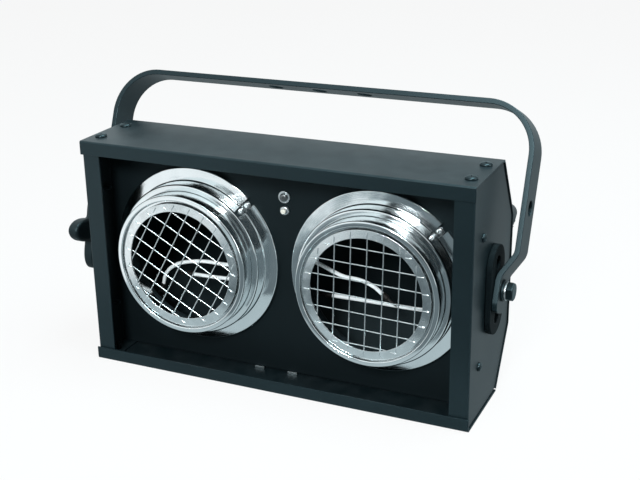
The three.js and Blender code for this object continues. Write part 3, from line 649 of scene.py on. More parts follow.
def finish_named(name):
    title = f"{name}_finish"
    made = bpy.data.materials.get(title)
    if made:
        return made
    made = bpy.data.materials.new(title)
    made.use_nodes = True
    tree = made.node_tree
    shader = next(node for node in tree.nodes if node.type == "BSDF_PRINCIPLED")
    set_inputs(tree, shader, look_of(name, tree, bpy.context.scene.blinder_colours))
    return made


COVER_SCREW_X = HALF_WIDTH - 0.0105
COVER_SCREW_DEPTHS = (0.020, 0.061)
BACK_SCREW_RISES = (0.070, 0.124)
SIDE_SCREW_DEPTH = 0.028
SIDE_SCREW_RISES = (0.050, 0.168)
PANEL_WASHER = 0.001
PANEL_WASHER_RADIUS = 0.0056
SINK_RADIUS = 0.0045
SINK_BORE = 0.0023
SINK_DEPTH = 0.0022


def cross_cut(bm, head, top, depth):
    """Cuts a cross recess with leaning walls into a screw head."""
    radius = head * 0.55
    for turn in (0, math.pi / 2):
        blade = block((-radius, top - depth, -radius * 0.17), (radius, top + PAST, radius * 0.17))
        for vert in blade.verts:
            if vert.co.y < top:
                vert.co.x *= 0.45
                vert.co.z *= 0.7
        bm = cut(bm, turned(blade, turn))
    return bm


def pan_screw(head, height, shank, length):
    bm = spun([
        (0, -length), (shank, -length), (shank, 0.0001), (head, 0.0001), (head, height * 0.35),
        (head * 0.93, height * 0.66), (head * 0.76, height * 0.87), (head * 0.5, height * 0.97), (0, height),
    ], steps=32)
    return turned(cross_cut(bm, head, height, height * 0.62), 0.4)


def countersunk_screw(head, height, shank, length):
    bm = spun([(0, -length), (shank, -length), (shank, -height), (head, -GAP), (0, -GAP)], steps=32)
    return turned(cross_cut(bm, head, -GAP, height * 0.6), 0.3)


# Maker, finish, radius and height of the head, radius and length of the shank
SCREW_KINDS = {
    "cover": (pan_screw, "black_screw", 0.0055, 0.0027, 0.002, 0.0085),
    "floor": (countersunk_screw, "black_screw", 0.0042, 0.0022, 0.002, 0.010),
    "side": (pan_screw, "black_screw", 0.0040, 0.0025, 0.002, 0.0095),
    "bezel": (pan_screw, "zinc", 0.0036, 0.0023, 0.0016, 0.007),
    "panel": (pan_screw, "dark_zinc", 0.0038, 0.0025, 0.002, 0.014),
    "earth": (pan_screw, "zinc", 0.0046, 0.0027, 0.002, 0.014),
}


def screw_rows():
    """Each screw as its node, its kind, its place and the way its head looks."""
    rows = []
    edges = (-COVER_SCREW_X, COVER_SCREW_X)
    cover_places = [(x, FRONT + depth) for x in edges for depth in COVER_SCREW_DEPTHS]
    back_places = [(x, rise) for x in edges for rise in BACK_SCREW_RISES]
    for index, (x, y) in enumerate(cover_places, 1):
        rows.append((f"top_screw_{index}", "cover", (x, y, HEIGHT), UP))
        rows.append((f"bottom_screw_{index}", "floor", (x, y, 0), -UP))
    for index, (x, z) in enumerate(back_places, 1):
        rows.append((f"back_screw_{index}", "cover", (x, BACK, z), REARWARD))
    for name, side in SIDES:
        for index, z in enumerate(SIDE_SCREW_RISES, 1):
            place = (side * SIDE_X, FRONT + SIDE_SCREW_DEPTH, z)
            rows.append((f"{name}_side_screw_{index}", "side", place, ACROSS * side))
        for index, turn in enumerate(NOTCH_TURNS, 1):
            place = (side * LAMP_X + TAB_SCREW_RADIUS * math.sin(turn), FOOT_Y - RING_SHEET,
                     LAMP_Z + TAB_SCREW_RADIUS * math.cos(turn))
            rows.append((f"{name}_bezel_screw_{index}", "bezel", place, -REARWARD))
    rows.append(("panel_screw", "panel", (0, PANEL_FRONT - GAP - PANEL_WASHER, PANEL_SCREW_Z), -REARWARD))
    rows.append(("earth_screw", "earth", (0, PANEL_FRONT, EARTH_SCREW_Z), -REARWARD))
    return rows


def make_screws(sizes):
    for name, kind, place, outward in screw_rows():
        make, finish, *dims = SCREW_KINDS[kind]
        add_piece(f"cross_head_{name}", placed(make(*dims), place, outward), finish, name, edge=FINE_EDGE)


def cover_sheet(sizes, outline):
    """A sheet as wide as the housing, folded along (depth, height) corners."""
    corners = [(-HALF_WIDTH, y, z) for y, z in outline]
    return folded(corners, ACROSS * 2 * HALF_WIDTH, HOUSING_MIDDLE, sizes.bend)


def make_covers(sizes):
    top = cover_sheet(sizes, [(FRONT, TOP_LOW.z), (FRONT, HEIGHT), (REAR_EDGE, HEIGHT)])
    add_piece("top_cover_sheet", top, "satin_black", "top_cover")
    bottom = cover_sheet(sizes, [(FRONT, BOTTOM_LIP), (FRONT, 0), (REAR_EDGE, 0)])
    sink = [(0, -0.004), (SINK_BORE, -0.004), (SINK_BORE, -SINK_DEPTH), (SINK_RADIUS, -GAP),
            (SINK_RADIUS, PAST), (0, PAST)]
    sinks = [placed(spun(sink, steps=32), place, outward)
             for _, kind, place, outward in screw_rows() if kind == "floor"]
    half = TONGUE_WIDTH / 2
    tongues = [block((x - half, FOOT_Y - SHEET, SHEET), (x + half, FOOT_Y, SHEET + TONGUE_RISE))
               for x in TONGUE_PLACES]
    add_piece("bottom_cover_sheet", cut(bottom, *sinks), "satin_black", "bottom_cover")
    add_piece("panel_tongues", together(*tongues), "zinc", edge=RING_EDGE)


def make_back(sizes):
    lean = (BACK - REAR_EDGE) / LOWER_FOLD
    upper_lean = (BACK - REAR_EDGE) / (HEIGHT - UPPER_FOLD)
    back = cover_sheet(sizes, [
        (REAR_EDGE + SEAM * lean, SEAM), (BACK, LOWER_FOLD), (BACK, UPPER_FOLD),
        (REAR_EDGE + SEAM * upper_lean, HEIGHT - SEAM)])
    rise = (HEIGHT + UPPER_FOLD) / 2
    angle = math.atan(upper_lean)
    vents = []
    for side in (-1, 1):
        for index in range(VENT_COUNT):
            x = side * LAMP_X + (index - (VENT_COUNT - 1) / 2) * VENT_PITCH
            vent = turned(peg(VENT_RADIUS, -PAST, PAST, sides=32), math.pi / 32)
            vent = turned(stretched(vent, VENT_REACH), angle, "X")
            vents.append(placed(vent, (x, (BACK + REAR_EDGE) / 2, rise)))
    gland = middle("gland_body")
    hole = peg(GLAND_HOLE, BACK - PAST, BACK + PAST, gland.x, gland.z)
    cover = add_piece("back_cover_sheet", cut(back, *vents, hole), "satin_black", "back_cover")
    # Painted shade: the inner faces get the darker, duller panel finish, so that no highlight shows inside
    # the housing
    cover.data.materials.append(finish_named("matt_black"))
    for face in cover.data.polygons:
        if face.normal.dot(face.center - HOUSING_MIDDLE) < 0:
            face.material_index = 1  # painted shade: the inside takes the darker, duller panel finish


def side_tray(sizes):
    """The right side plate: a tray with flanges turned in all round."""
    bm = bmesh.new()
    outline = [(FRONT, 0), (REAR_EDGE, 0), (BACK, LOWER_FOLD), (BACK, UPPER_FOLD), (REAR_EDGE, HEIGHT),
               (FRONT, HEIGHT)]
    face = bm.faces.new([bm.verts.new((SIDE_X, y, z)) for y, z in outline])
    bm.normal_update()
    ring = bmesh.ops.inset_region(bm, faces=[face], thickness=SEAM, use_even_offset=True, use_boundary=True)
    bmesh.ops.delete(bm, geom=ring["faces"], context="FACES")
    rim = bm.edges[:]
    inner = verts_of(bmesh.ops.extrude_edge_only(bm, edges=rim)["geom"])
    bmesh.ops.translate(bm, vec=-ACROSS * SIDE_FLANGE, verts=inner)
    for vert in inner:
        if vert.co.y < FRONT + 2 * SEAM:
            vert.co.x = SIDE_X - FRONT_FLANGE
    rounded(bm, [edge for edge in bm.edges if len(edge.link_faces) == 2], sizes.bend, 3)
    return thickened(bm, HOUSING_MIDDLE)


def make_side_plates(sizes):
    hole = rod(PIVOT_BORE, PIVOT + ACROSS * (SIDE_X - SIDE_FLANGE), PIVOT + ACROSS * (SIDE_X + PAST))
    nut_low, nut_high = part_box("gland_lock_nut")
    relief = block((nut_low.x - 2 * GAP, nut_low.y - GAP, nut_low.z - 2 * GAP),
                   (SIDE_X - SEAM, BACK, nut_high.z + 2 * GAP))
    left = mirrored(cut(side_tray(sizes), hole.copy()))
    add_piece("left_side_tray", left, "satin_black", "left_side_plate")
    add_piece("right_side_tray", cut(side_tray(sizes), hole, relief), "satin_black", "right_side_plate")


def make_lamp_panel(sizes):
    low, high = PANEL_LOW, PANEL_HIGH
    outline = [(low.x, low.y), (low.x, high.y), (high.x, high.y), (high.x, low.y)]
    panel = folded([(x, y, low.z) for x, y in outline], UP * (high.z - low.z),
                   (0, FRONT, HEIGHT / 2), sizes.bend)
    openings = [peg(OPENING_RADIUS, -PAST * 2, PAST * 2, x, LAMP_Z, 128) for x in (-LAMP_X, LAMP_X)]
    add_piece("lamp_panel_tray", cut(panel, *openings), "matt_black", "lamp_panel")
    place = (0, PANEL_FRONT - GAP, PANEL_SCREW_Z)
    pale = placed(washer(PANEL_WASHER_RADIUS, SINK_BORE, PANEL_WASHER), place, -REARWARD)
    add_piece("panel_screw_washer", pale, "zinc", "panel_washer", edge=FINE_EDGE * 1.5)


def on_lamp(bm, side):
    """Sets a shape turned about Y on the axis of the left (-1) or right (1) lamp."""
    return placed(bm, (side * LAMP_X, 0, LAMP_Z))


def make_outer_bezel(sizes, name, side):
    rim_inside = FLANGE_RADIUS - RING_SHEET
    wall_inside = OUTER_WALL - RING_SHEET
    bm = spun([
        (FLANGE_RADIUS, FLANGE_Y + DISH, 0.0011), (FLANGE_RADIUS, FOOT_Y),
        (rim_inside, FOOT_Y), (rim_inside, FLANGE_Y + DISH + RING_SHEET),
        (OUTER_WALL, FLANGE_Y + RING_SHEET), (OUTER_WALL, FOOT_Y),
        (wall_inside, FOOT_Y), (wall_inside, STEP_Y + RING_SHEET, 0.0009),
        (CUP_WALL + GAP, STEP_Y + RING_SHEET), (CUP_WALL + GAP, STEP_Y, 0.0005),
        (OUTER_WALL, STEP_Y, 0.0021), (OUTER_WALL, FLANGE_Y, 0.0012),
    ], steps=sizes.ring_steps)
    notches = [turned(block((-NOTCH_WIDTH / 2, FLANGE_Y - PAST, OUTER_WALL + GAP),
                            (NOTCH_WIDTH / 2, FOOT_Y + PAST, FLANGE_RADIUS + PAST)), turn)
               for turn in NOTCH_TURNS]
    bm = cut(bm, *notches)
    for turn in NOTCH_TURNS:
        tab = block((-TAB_RADIUS, FOOT_Y - RING_SHEET, OUTER_WALL - RING_SHEET / 2),
                    (TAB_RADIUS, FOOT_Y, TAB_SCREW_RADIUS))
        end = peg(TAB_RADIUS, FOOT_Y - RING_SHEET, FOOT_Y, 0, TAB_SCREW_RADIUS, 32)
        bm = welded(bm, turned(welded(tab, end), turn))
    add_piece(f"{name}_bezel_ring", on_lamp(bm, side), "chrome", f"{name}_outer_bezel", edge=RING_EDGE)


def make_lamp_cup(sizes, name, side):
    foot = STEP_Y + RING_SHEET + GAP
    inside = CUP_WALL - RING_SHEET
    lip_outside = LIP_RADIUS + RING_SHEET
    bm = spun([
        (CUP_WALL, NOSE_Y, 0.0016), (CUP_WALL, foot, 0.0008), (CUP_FOOT, foot),
        (CUP_FOOT, foot + RING_SHEET),
        (inside, foot + RING_SHEET), (inside, NOSE_Y + RING_SHEET, 0.0006),
        (lip_outside, NOSE_Y + RING_SHEET, 0.0004), (lip_outside, SEAT_Y + RING_SHEET, 0.0006),
        (SEAT_RADIUS, SEAT_Y + RING_SHEET), (SEAT_RADIUS, SEAT_Y), (LIP_RADIUS, SEAT_Y, 0.0006),
        (LIP_RADIUS, NOSE_Y, 0.0011),
    ], steps=sizes.ring_steps)
    add_piece(f"{name}_cup_ring", on_lamp(bm, side), "chrome", f"{name}_lamp_cup", edge=RING_EDGE)


def make_wire_guard(sizes, name, side):
    rear = GUARD_FRONT + RING_SHEET
    pieces = [spun([
        (GUARD_OUTER, GUARD_FRONT + 0.0008, 0.0002), (GUARD_OUTER, rear, 0.0001),
        (GUARD_INNER, rear, 0.0001), (GUARD_INNER, GUARD_FRONT, 0.0003),
    ], steps=sizes.ring_steps)]
    radius = sizes.guard_wire / 2
    for step in range(-GUARD_WIRES_EACH_SIDE, GUARD_WIRES_EACH_SIDE + 1):
        for layer in (0, 1):  # the rear wires cross the front ones
            aside = step * GUARD_PITCH + layer * GUARD_REAR_SHIFT
            reach = math.sqrt(GUARD_WIRE_REACH ** 2 - aside ** 2)
            depth = rear - WIRE_SINK + radius + layer * (sizes.guard_wire - WIRE_SINK)
            spin = Matrix.Rotation(GUARD_TURNS[name] + layer * math.pi / 2, 3, "Y")
            start, end = (spin @ Vector((aside, depth, far * reach)) for far in (-1, 1))
            pieces.append(rod(radius, start, end, 12))
            onward = (end - start).normalized()
            for tip, away in ((start, -onward), (end, onward)):
                weld = Vector((tip.x, GUARD_FRONT + GAP, tip.z))
                pieces.append(rod(WELD_RADIUS, weld - away * WELD_INWARD, weld + away * WELD_OUTWARD, 10))
    bm = on_lamp(together(*pieces), side)
    add_piece(f"{name}_guard_wires", bm, "bright_wire", f"{name}_wire_guard", edge=0)


def make_lamp_clip(sizes, name, side):
    radius = CUP_WALL - RING_SHEET - GAP - CLIP_WIRE
    bm = bmesh.new()
    bmesh.ops.create_circle(bm, segments=12, radius=CLIP_WIRE)
    turned(bm, math.pi / 2)
    bmesh.ops.translate(bm, verts=bm.verts[:], vec=(0, NOSE_Y + CLIP_DEPTH, -radius))
    turned(bm, CLIP_GAP)
    bmesh.ops.spin(bm, geom=bm.verts[:] + bm.edges[:], axis=REARWARD, angle=math.tau - 2 * CLIP_GAP,
                   steps=96)
    bmesh.ops.holes_fill(bm, edges=[edge for edge in bm.edges if edge.is_boundary])
    add_piece(f"{name}_clip_wire", on_lamp(faced_out(bm), side), "zinc", f"{name}_lamp_clip", edge=0)


def make_lamp_rings(sizes):
    for name, side in SIDES:
        for make in (make_outer_bezel, make_lamp_cup, make_wire_guard, make_lamp_clip):
            make(sizes, name, side)


def make_yoke(sizes):
    arm = abs(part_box("pivot_bolt")[1].x) - BOLT_HEAD - 2 * WASHER - 3 * GAP
    right = [(arm, -YOKE_FOOT), (arm, YOKE_JOGGLE[0]),
             (YOKE_HALF_WIDTH, YOKE_JOGGLE[1]), (YOKE_HALF_WIDTH, YOKE_LENGTH)]
    line = right + [(-x, z) for x, z in reversed(right)]
    bm = bmesh.new()
    verts = wire(bm, [(x, -YOKE_BAR / 2, z) for x, z in line])
    for vert in verts[1:-1]:
        top = vert.co.z > YOKE_LENGTH - GAP
        rounded(bm, [vert], sizes.yoke_bend if top else YOKE_JOGGLE_BEND, 20 if top else 5)
    carried = bmesh.ops.extrude_edge_only(bm, edges=bm.edges[:])["geom"]
    bmesh.ops.translate(bm, vec=REARWARD * YOKE_BAR, verts=verts_of(carried))
    bm = thickened(bm, (0, 0, 0), YOKE_THICKNESS)
    lowest = [edge for edge in bm.edges if max(vert.co.z for vert in edge.verts) < GAP - YOKE_FOOT]
    feet = [edge for edge in lowest if abs(edge.verts[0].co.x - edge.verts[1].co.x) > GAP]
    rounded(bm, feet, YOKE_FOOT_ROUNDING, 6)
    reach = YOKE_HALF_WIDTH + PAST
    holes = [rod(YOKE_HOLE, (x, 0, YOKE_LENGTH - 2 * PAST), (x, 0, YOKE_LENGTH + PAST))
             for x in (-YOKE_HOLE_PITCH, 0, YOKE_HOLE_PITCH)]
    holes += [rod(radius, (-reach, 0, rise), (reach, 0, rise))
              for radius, rise in ((YOKE_HOLE, ARM_HOLE_RISE), (YOKE_BORE, 0))]
    bm = placed(turned(cut(bm, *holes), -YOKE_TILT, "X"), PIVOT)
    add_piece("yoke_bent_bar", bm, "satin_black", "yoke", body="yoke", edge=BAR_EDGE, segments=3)


def washer(radius, hole, thickness):
    return spun([(radius, 0), (radius, thickness), (hole, thickness), (hole, 0)], steps=64)


def chamfered_hexagon(corner, height):
    crown = spun([(0, -PAST), (corner + GAP, -PAST), (corner + GAP, height * 0.72), (corner * 0.8, height),
                  (0, height)], steps=64)
    return combined("INTERSECT", hexagon(corner, 0, height), crown)


def make_pivot_plates(sizes):
    for name, side in SIDES:
        start = side * (SIDE_X + GAP)
        end = start + side * PLATE_THICKNESS
        disc = rod(PLATE_RADIUS, (start, 0, 0), (end, 0, 0), 64)
        plate = stretched(turned(disc, math.pi / 64, "X"), PLATE_REACH)
        bores = ((PIVOT_BORE, 0), (PLATE_HOLE, -PLATE_HOLE_REACH), (PLATE_HOLE, PLATE_HOLE_REACH))
        holes = [rod(radius, (start - side * PAST, 0, rise), (end + side * PAST, 0, rise))
                 for radius, rise in bores]
        add_piece(f"{name}_pivot_spacer", placed(cut(plate, *holes), PIVOT), "friction_disc",
                  f"{name}_pivot_plate", edge=DISC_EDGE)


def make_pivot_fasteners(sizes):
    bolt_low, bolt_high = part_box("pivot_bolt")
    head_x = bolt_high.x - BOLT_HEAD
    for name, side in SIDES:
        outward = ACROSS * side
        bore = peg(PIVOT_BORE, -PAST, NUT_HEIGHT + PAST)
        nut = placed(cut(chamfered_hexagon(NUT_CORNER, NUT_HEIGHT), bore), PIVOT + outward * NUT_X, -outward)
        add_piece(f"{name}_hex_nut", nut, "zinc", f"{name}_pivot_nut", edge=RING_EDGE)
        seat = abs(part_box(f"{name}_pivot_washer")[0 if side > 0 else 1].x)
        dark = placed(washer(ARM_WASHER_RADIUS, PIVOT_BORE, WASHER), PIVOT + outward * seat, outward)
        add_piece(f"{name}_arm_washer", dark, "satin_black", f"{name}_pivot_washer")
    bright_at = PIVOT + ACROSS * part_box("bolt_washer")[0].x
    bright = placed(washer(BRIGHT_WASHER_RADIUS, PIVOT_BORE, WASHER), bright_at, ACROSS)
    add_piece("bright_bolt_washer", bright, "zinc", "bolt_washer")
    shank = peg(BOLT_RADIUS, bolt_low.x - head_x, BOLT_HEAD / 2)
    bolt = placed(welded(chamfered_hexagon(NUT_CORNER, BOLT_HEAD), shank), PIVOT + ACROSS * head_x, ACROSS)
    add_piece("hexagon_bolt", bolt, "black_screw", "pivot_bolt")


def make_clamp_knob(sizes):
    knob_low, knob_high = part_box("clamp_knob")
    length = knob_high.x - knob_low.x
    hub = spun([
        (0, 0), (HUB_RADIUS, 0, 0.0008), (HUB_RADIUS, KNOB_NECK), (HUB_FLARE, KNOB_NECK + 0.004, 0.001),
        (HUB_FLARE, KNOB_STAR_END, 0.001), (HUB_RADIUS, length, 0.0012), (0, length)], steps=64)
    star = peg(1, KNOB_NECK, KNOB_STAR_END, sides=120)
    for vert in star.verts:
        reach = KNOB_REACH + KNOB_WAVE * math.cos(KNOB_LOBES * math.atan2(-vert.co.z, vert.co.x))
        vert.co.x *= reach
        vert.co.z *= reach
    rims = [edge for edge in star.edges if abs(edge.verts[0].co.y - edge.verts[1].co.y) < GAP]
    rounded(star, rims, KNOB_ROUNDING, 5)
    bore = peg(PIVOT_BORE, -PAST, KNOB_BORE_DEPTH)
    knob = placed(cut(welded(hub, star), bore), (knob_high.x, PIVOT.y, PIVOT.z), -ACROSS)
    turned(knob, -KNOB_TURN, "X", (0, PIVOT.y, PIVOT.z))
    add_piece("star_knob", knob, "black_plastic", "clamp_knob", body="clamp_knob", edge=SOFT_EDGE)
    low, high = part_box("knob_stud")
    stud = rod(BOLT_RADIUS, (low.x, PIVOT.y, PIVOT.z), (high.x, PIVOT.y, PIVOT.z))
    add_piece("knob_threaded_stud", stud, "zinc", "knob_stud", body="clamp_knob", edge=SOFT_EDGE)


def make_gland(sizes):
    axis = middle("gland_body")
    axis.y = 0
    start, thread_end = (corner.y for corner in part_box("gland_body"))
    foot, mouth = (corner.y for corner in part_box("gland_nut"))
    lock_start, lock_end = (corner.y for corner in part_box("gland_lock_nut"))
    flat = welded(hexagon(GLAND_HEX * HEX_CORNER, BACK + GAP, BACK + GLAND_HEX_END),
                  peg(GLAND_THREAD, start, thread_end))
    bore = peg(GLAND_BORE, start - PAST, thread_end + PAST)
    add_piece("gland_hex_body", placed(cut(flat, bore), axis), "black_plastic", "gland_body", edge=SOFT_EDGE)
    shoulder = foot + DOME_LENGTH
    dome = spun([
        (DOME_WALL, foot, 0.0005), (DOME_WALL, shoulder, 0.001), (0.0112, shoulder + 0.006, 0.001),
        (0.0096, mouth - 0.007, 0.002), (0.0084, mouth, 0.0008), (DOME_MOUTH, mouth, 0.0005),
        (DOME_MOUTH, shoulder + 0.001), (GLAND_HOLE, shoulder + GAP), (GLAND_HOLE, foot),
    ], steps=72)
    ribs = []
    for index in range(sizes.gland_ribs):
        rib = block((-RIB_HALF_WIDTH, foot + 2 * GAP, 0.0104), (RIB_HALF_WIDTH, shoulder - 0.0004, 0.0128))
        ribs.append(turned(rib, math.tau * index / sizes.gland_ribs))
    add_piece("gland_dome_nut", placed(welded(dome, *ribs), axis), "black_plastic", "gland_nut")
    seal = spun([(SEAL_RADIUS, shoulder + 0.002), (SEAL_RADIUS, mouth - 2 * GAP, 0.0004),
                 (GLAND_BORE, mouth - 2 * GAP, 0.0003), (GLAND_BORE, shoulder + 0.002)], steps=48)
    add_piece("gland_seal", placed(seal, axis), "rubber", edge=0)
    lock = cut(hexagon(LOCK_NUT_HEX * HEX_CORNER, lock_start, lock_end),
               peg(GLAND_HOLE, lock_start - PAST, lock_end + PAST))
    add_piece("gland_thin_nut", placed(lock, axis), "black_plastic", "gland_lock_nut")


LEAD_AXIS_Y = 0.0085
LEAD_SPACING = 0.009
LEAD_BORE = 0.0057
LEAD_TAIL = 0.004
LEAD_POINTS = 32
ROUTE_STEPS = 16
LUG_BORE = 0.0021
LUG_BARREL = 0.0028
LUG_BARREL_END = 0.0070
LUG_STOP = 0.0038
LUG_EYE = 0.004
LUG_EYE_AT = 0.0125
LUG_HALF_SHEET = 0.0005
LUG_OVERLAP = 0.0035
BLOCK_WIRE_BORE = 0.0021
BLOCK_CLAMP_BORE = 0.0026
BLOCK_BORE_DEPTH = 0.006
BLOCK_CLAMP_DEPTH = 0.003

# Where each lead hangs, from its tail below the terminal block to its lug, in millimetres
LEAD_ROUTES = {
    "left_lead_front": (
        (-15, 8.5, 138), (-24, 8.5, 116), (-44, 8.5, 101), (-67, 8.5, 97.9), (-96, 8.5, 97.2),
        (-124, 8.5, 89.8), (-136, 8.5, 79), (-140.6, 8.5, 64.7)),
    "left_lead_back": (
        (-5, 8.5, 136), (-14, 8.5, 108), (-36, 8.5, 88), (-66.4, 8.5, 83.8), (-108.7, 8.5, 82.4)),
    "right_lead_front": (
        (6, 8.5, 138), (14, 8.5, 120), (33.1, 8.5, 111.3), (51.7, 8.5, 104.7), (70, 8.5, 103.2),
        (82, 9, 98.5), (92, 10, 90.5)),
    "right_lead_back": (
        (24, 20, 149), (70, 28, 150), (112, 28, 148), (142, 24, 138), (157, 19, 116), (154, 17, 94),
        (140, 17, 82.5), (124.3, 17, 80.3), (79, 17, 80.2), (34, 17, 80)),
}


def spans_of(points):
    return [(second - first).length for first, second in zip(points, points[1:])]


def even_route(corners, count):
    """Points spread evenly along the smooth line through the corners."""
    padded = [2 * corners[0] - corners[1], *corners, 2 * corners[-1] - corners[-2]]
    fine = [corners[0]]
    for before, start, end, after in zip(padded, padded[1:], padded[2:], padded[3:]):
        around = [before, start, end, after]
        knots = [0, *accumulate(math.sqrt(length) for length in spans_of(around))]
        for step in range(1, ROUTE_STEPS + 1):
            at = knots[1] + (knots[2] - knots[1]) * step / ROUTE_STEPS
            row = around
            for spans in (((0, 1), (1, 2), (2, 3)), ((0, 2), (1, 3)), ((1, 2),)):
                row = [(first * (knots[high] - at) + second * (at - knots[low])) / (knots[high] - knots[low])
                       for first, second, (low, high) in zip(row, row[1:], spans)]
            fine.append(row[0])
    lengths = [0, *accumulate(spans_of(fine))]
    spots, at = [], 0
    for index in range(count):
        want = lengths[-1] * index / (count - 1)
        while at < len(fine) - 2 and lengths[at + 1] < want:
            at += 1
        share = (want - lengths[at]) / (lengths[at + 1] - lengths[at])
        spots.append(fine[at].lerp(fine[at + 1], share))
    return spots


def lead_place(place):
    return (place - 1.5) * LEAD_SPACING


def lead_route(name, place):
    mouth = Vector((lead_place(place), LEAD_AXIS_Y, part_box("terminal_block")[0].z))
    corners = [mouth + UP * LEAD_BORE, mouth, mouth - UP * LEAD_TAIL]
    corners += [Vector(point) / 1000 for point in LEAD_ROUTES[name]]
    return even_route(corners, LEAD_POINTS)


def make_leads(sizes):
    for place, name in enumerate(LEAD_ROUTES):
        route = lead_route(name, place)
        line = bpy.data.curves.new(f"{name}_sleeve", "CURVE")
        line.dimensions = "3D"
        line.bevel_depth = sizes.lead / 2
        line.bevel_resolution = 5
        line.use_fill_caps = True
        spline = line.splines.new("BEZIER")
        spline.resolution_u = 4
        spline.bezier_points.add(len(route) - 1)
        for point, spot in zip(spline.bezier_points, route):
            point.co = spot
            point.handle_left_type = point.handle_right_type = "AUTO"
        line.materials.append(finish_named("white_sleeve"))
        sleeve = add_object(f"{name}_sleeve", line)
        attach(sleeve, "housing")
        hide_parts(name)
        lug = make_lug(name, route)


def make_lug(name, route):
    """A crimped ring lug on the end of a lead."""
    end = route[-1]
    onward = (end - Vector(LEAD_ROUTES[name][-2]) / 1000).normalized()
    barrel = spun([
        (LUG_BORE, 0), (LUG_BARREL, 0, 0.0002), (LUG_BARREL, 0.0058, 0.0004),
        (LUG_BORE, LUG_BARREL_END, 0.0004), (0, LUG_BARREL_END), (0, LUG_STOP), (LUG_BORE, LUG_STOP),
    ], steps=24)
    tongue = block((-LUG_BARREL, 0.0064, -LUG_HALF_SHEET), (LUG_BARREL, LUG_EYE_AT, LUG_HALF_SHEET))
    eye = rod(LUG_EYE, (0, LUG_EYE_AT, -LUG_HALF_SHEET), (0, LUG_EYE_AT, LUG_HALF_SHEET), 32)
    hole = rod(LUG_BORE, (0, LUG_EYE_AT, -PAST), (0, LUG_EYE_AT, PAST), 24)
    lug = placed(cut(welded(welded(barrel, tongue), eye), hole), end - onward * LUG_OVERLAP, onward)
    return add_piece(f"{name}_ring_lug", lug, "dark_lug", f"{name}_lug", edge=FINE_EDGE)


def make_terminal_block(sizes):
    low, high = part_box("terminal_block")
    bm = block(low, high)
    rounded(bm, bm.edges[:], 0.0008, 2)
    top = low.z + BLOCK_BORE_DEPTH
    places = [lead_place(place) for place in range(len(LEAD_ROUTES))]
    entries = [rod(BLOCK_WIRE_BORE, (x, LEAD_AXIS_Y, low.z - PAST), (x, LEAD_AXIS_Y, top), 32)
               for x in places]
    clamps = [peg(BLOCK_CLAMP_BORE, high.y - BLOCK_CLAMP_DEPTH, high.y + PAST, x, top, 24) for x in places]
    fixings = [peg(SINK_BORE, low.y - PAST, high.y + PAST, 0, z, 24) for z in (PANEL_SCREW_Z, EARTH_SCREW_Z)]
    block_body = cut(bm, *entries, *clamps, *fixings)
    add_piece("ceramic_terminal_block", block_body, "ceramic", "terminal_block", edge=RING_EDGE)


CAMERA_PLACE = Vector((0.4357, -0.8770, 0.4995))
CAMERA_TURN = math.radians(24.65)
CAMERA_DROP = math.radians(20.44)
CAMERA_ROLL = math.radians(-0.91)
LENS = 64.79  # for a film 36 mm wide


def make_camera():
    data = bpy.data.cameras.new("photo_view")
    data.lens = LENS
    data.sensor_width = 36
    data.clip_start, data.clip_end = 0.05, 100
    camera = add_object("photo_view", data)
    turn = (Matrix.Rotation(CAMERA_TURN, 4, "Z") @ Matrix.Rotation(math.pi / 2 - CAMERA_DROP, 4, "X")
            @ Matrix.Rotation(CAMERA_ROLL, 4, "Z"))
    camera.matrix_world = Matrix.Translation(CAMERA_PLACE) @ turn
    bpy.context.scene.camera = camera


def soft_lamp(name, place, target, size, watts, colour=(1, 1, 1)):
    data = bpy.data.lights.new(name, "AREA")
    data.shape = "RECTANGLE"
    data.size, data.size_y = size
    data.energy = watts
    data.color = colour
    lamp = add_object(name, data)
    lamp.location = place
    lamp.rotation_euler = (Vector(target) - Vector(place)).to_track_quat("-Z", "Y").to_euler()


def cleared_tree(owner):
    owner.use_nodes = True
    owner.node_tree.nodes.clear()
    return owner.node_tree


def make_world():
    world = bpy.data.worlds.new("white_studio")
    bpy.context.scene.world = world
    tree = cleared_tree(world)
    path = tree.nodes.new("ShaderNodeLightPath").outputs
    seen = math_of(tree, "MAXIMUM", path["Is Camera Ray"], path["Is Transmission Ray"])
    fill, sky, shown = (
        shader_node(tree, "Background", {"Color": (*colour, 1), "Strength": strength}).outputs[0]
        for colour, strength in (((0.9, 0.97, 1), 0.22), ((0.88, 0.975, 1), 1.0), ((1, 1, 1), 1.0)))
    mirrored_sky = shader_node(tree, "MixShader", {0: path["Is Glossy Ray"], 1: fill, 2: sky})
    mix = shader_node(tree, "MixShader", {0: seen, 1: mirrored_sky.outputs[0], 2: shown})
    shader_node(tree, "OutputWorld", {"Surface": mix.outputs[0]})


def stage_card(name, size, place, turn, material):
    bm = bmesh.new()
    bmesh.ops.create_grid(bm, x_segments=1, y_segments=1, size=0.5)
    bmesh.ops.scale(bm, vec=(size[0], size[1], 1), verts=bm.verts[:])
    matrix = Matrix.Translation(place) @ turn.to_matrix().to_4x4()
    bmesh.ops.transform(bm, matrix=matrix, verts=bm.verts[:])
    card = add_object(name, mesh_of(bm, name))
    card.data.materials.append(material)
    return card


def glow(tree, colour):
    return shader_node(tree, "Emission", {"Color": (*colour, 1), "Strength": 1.0}).outputs[0]


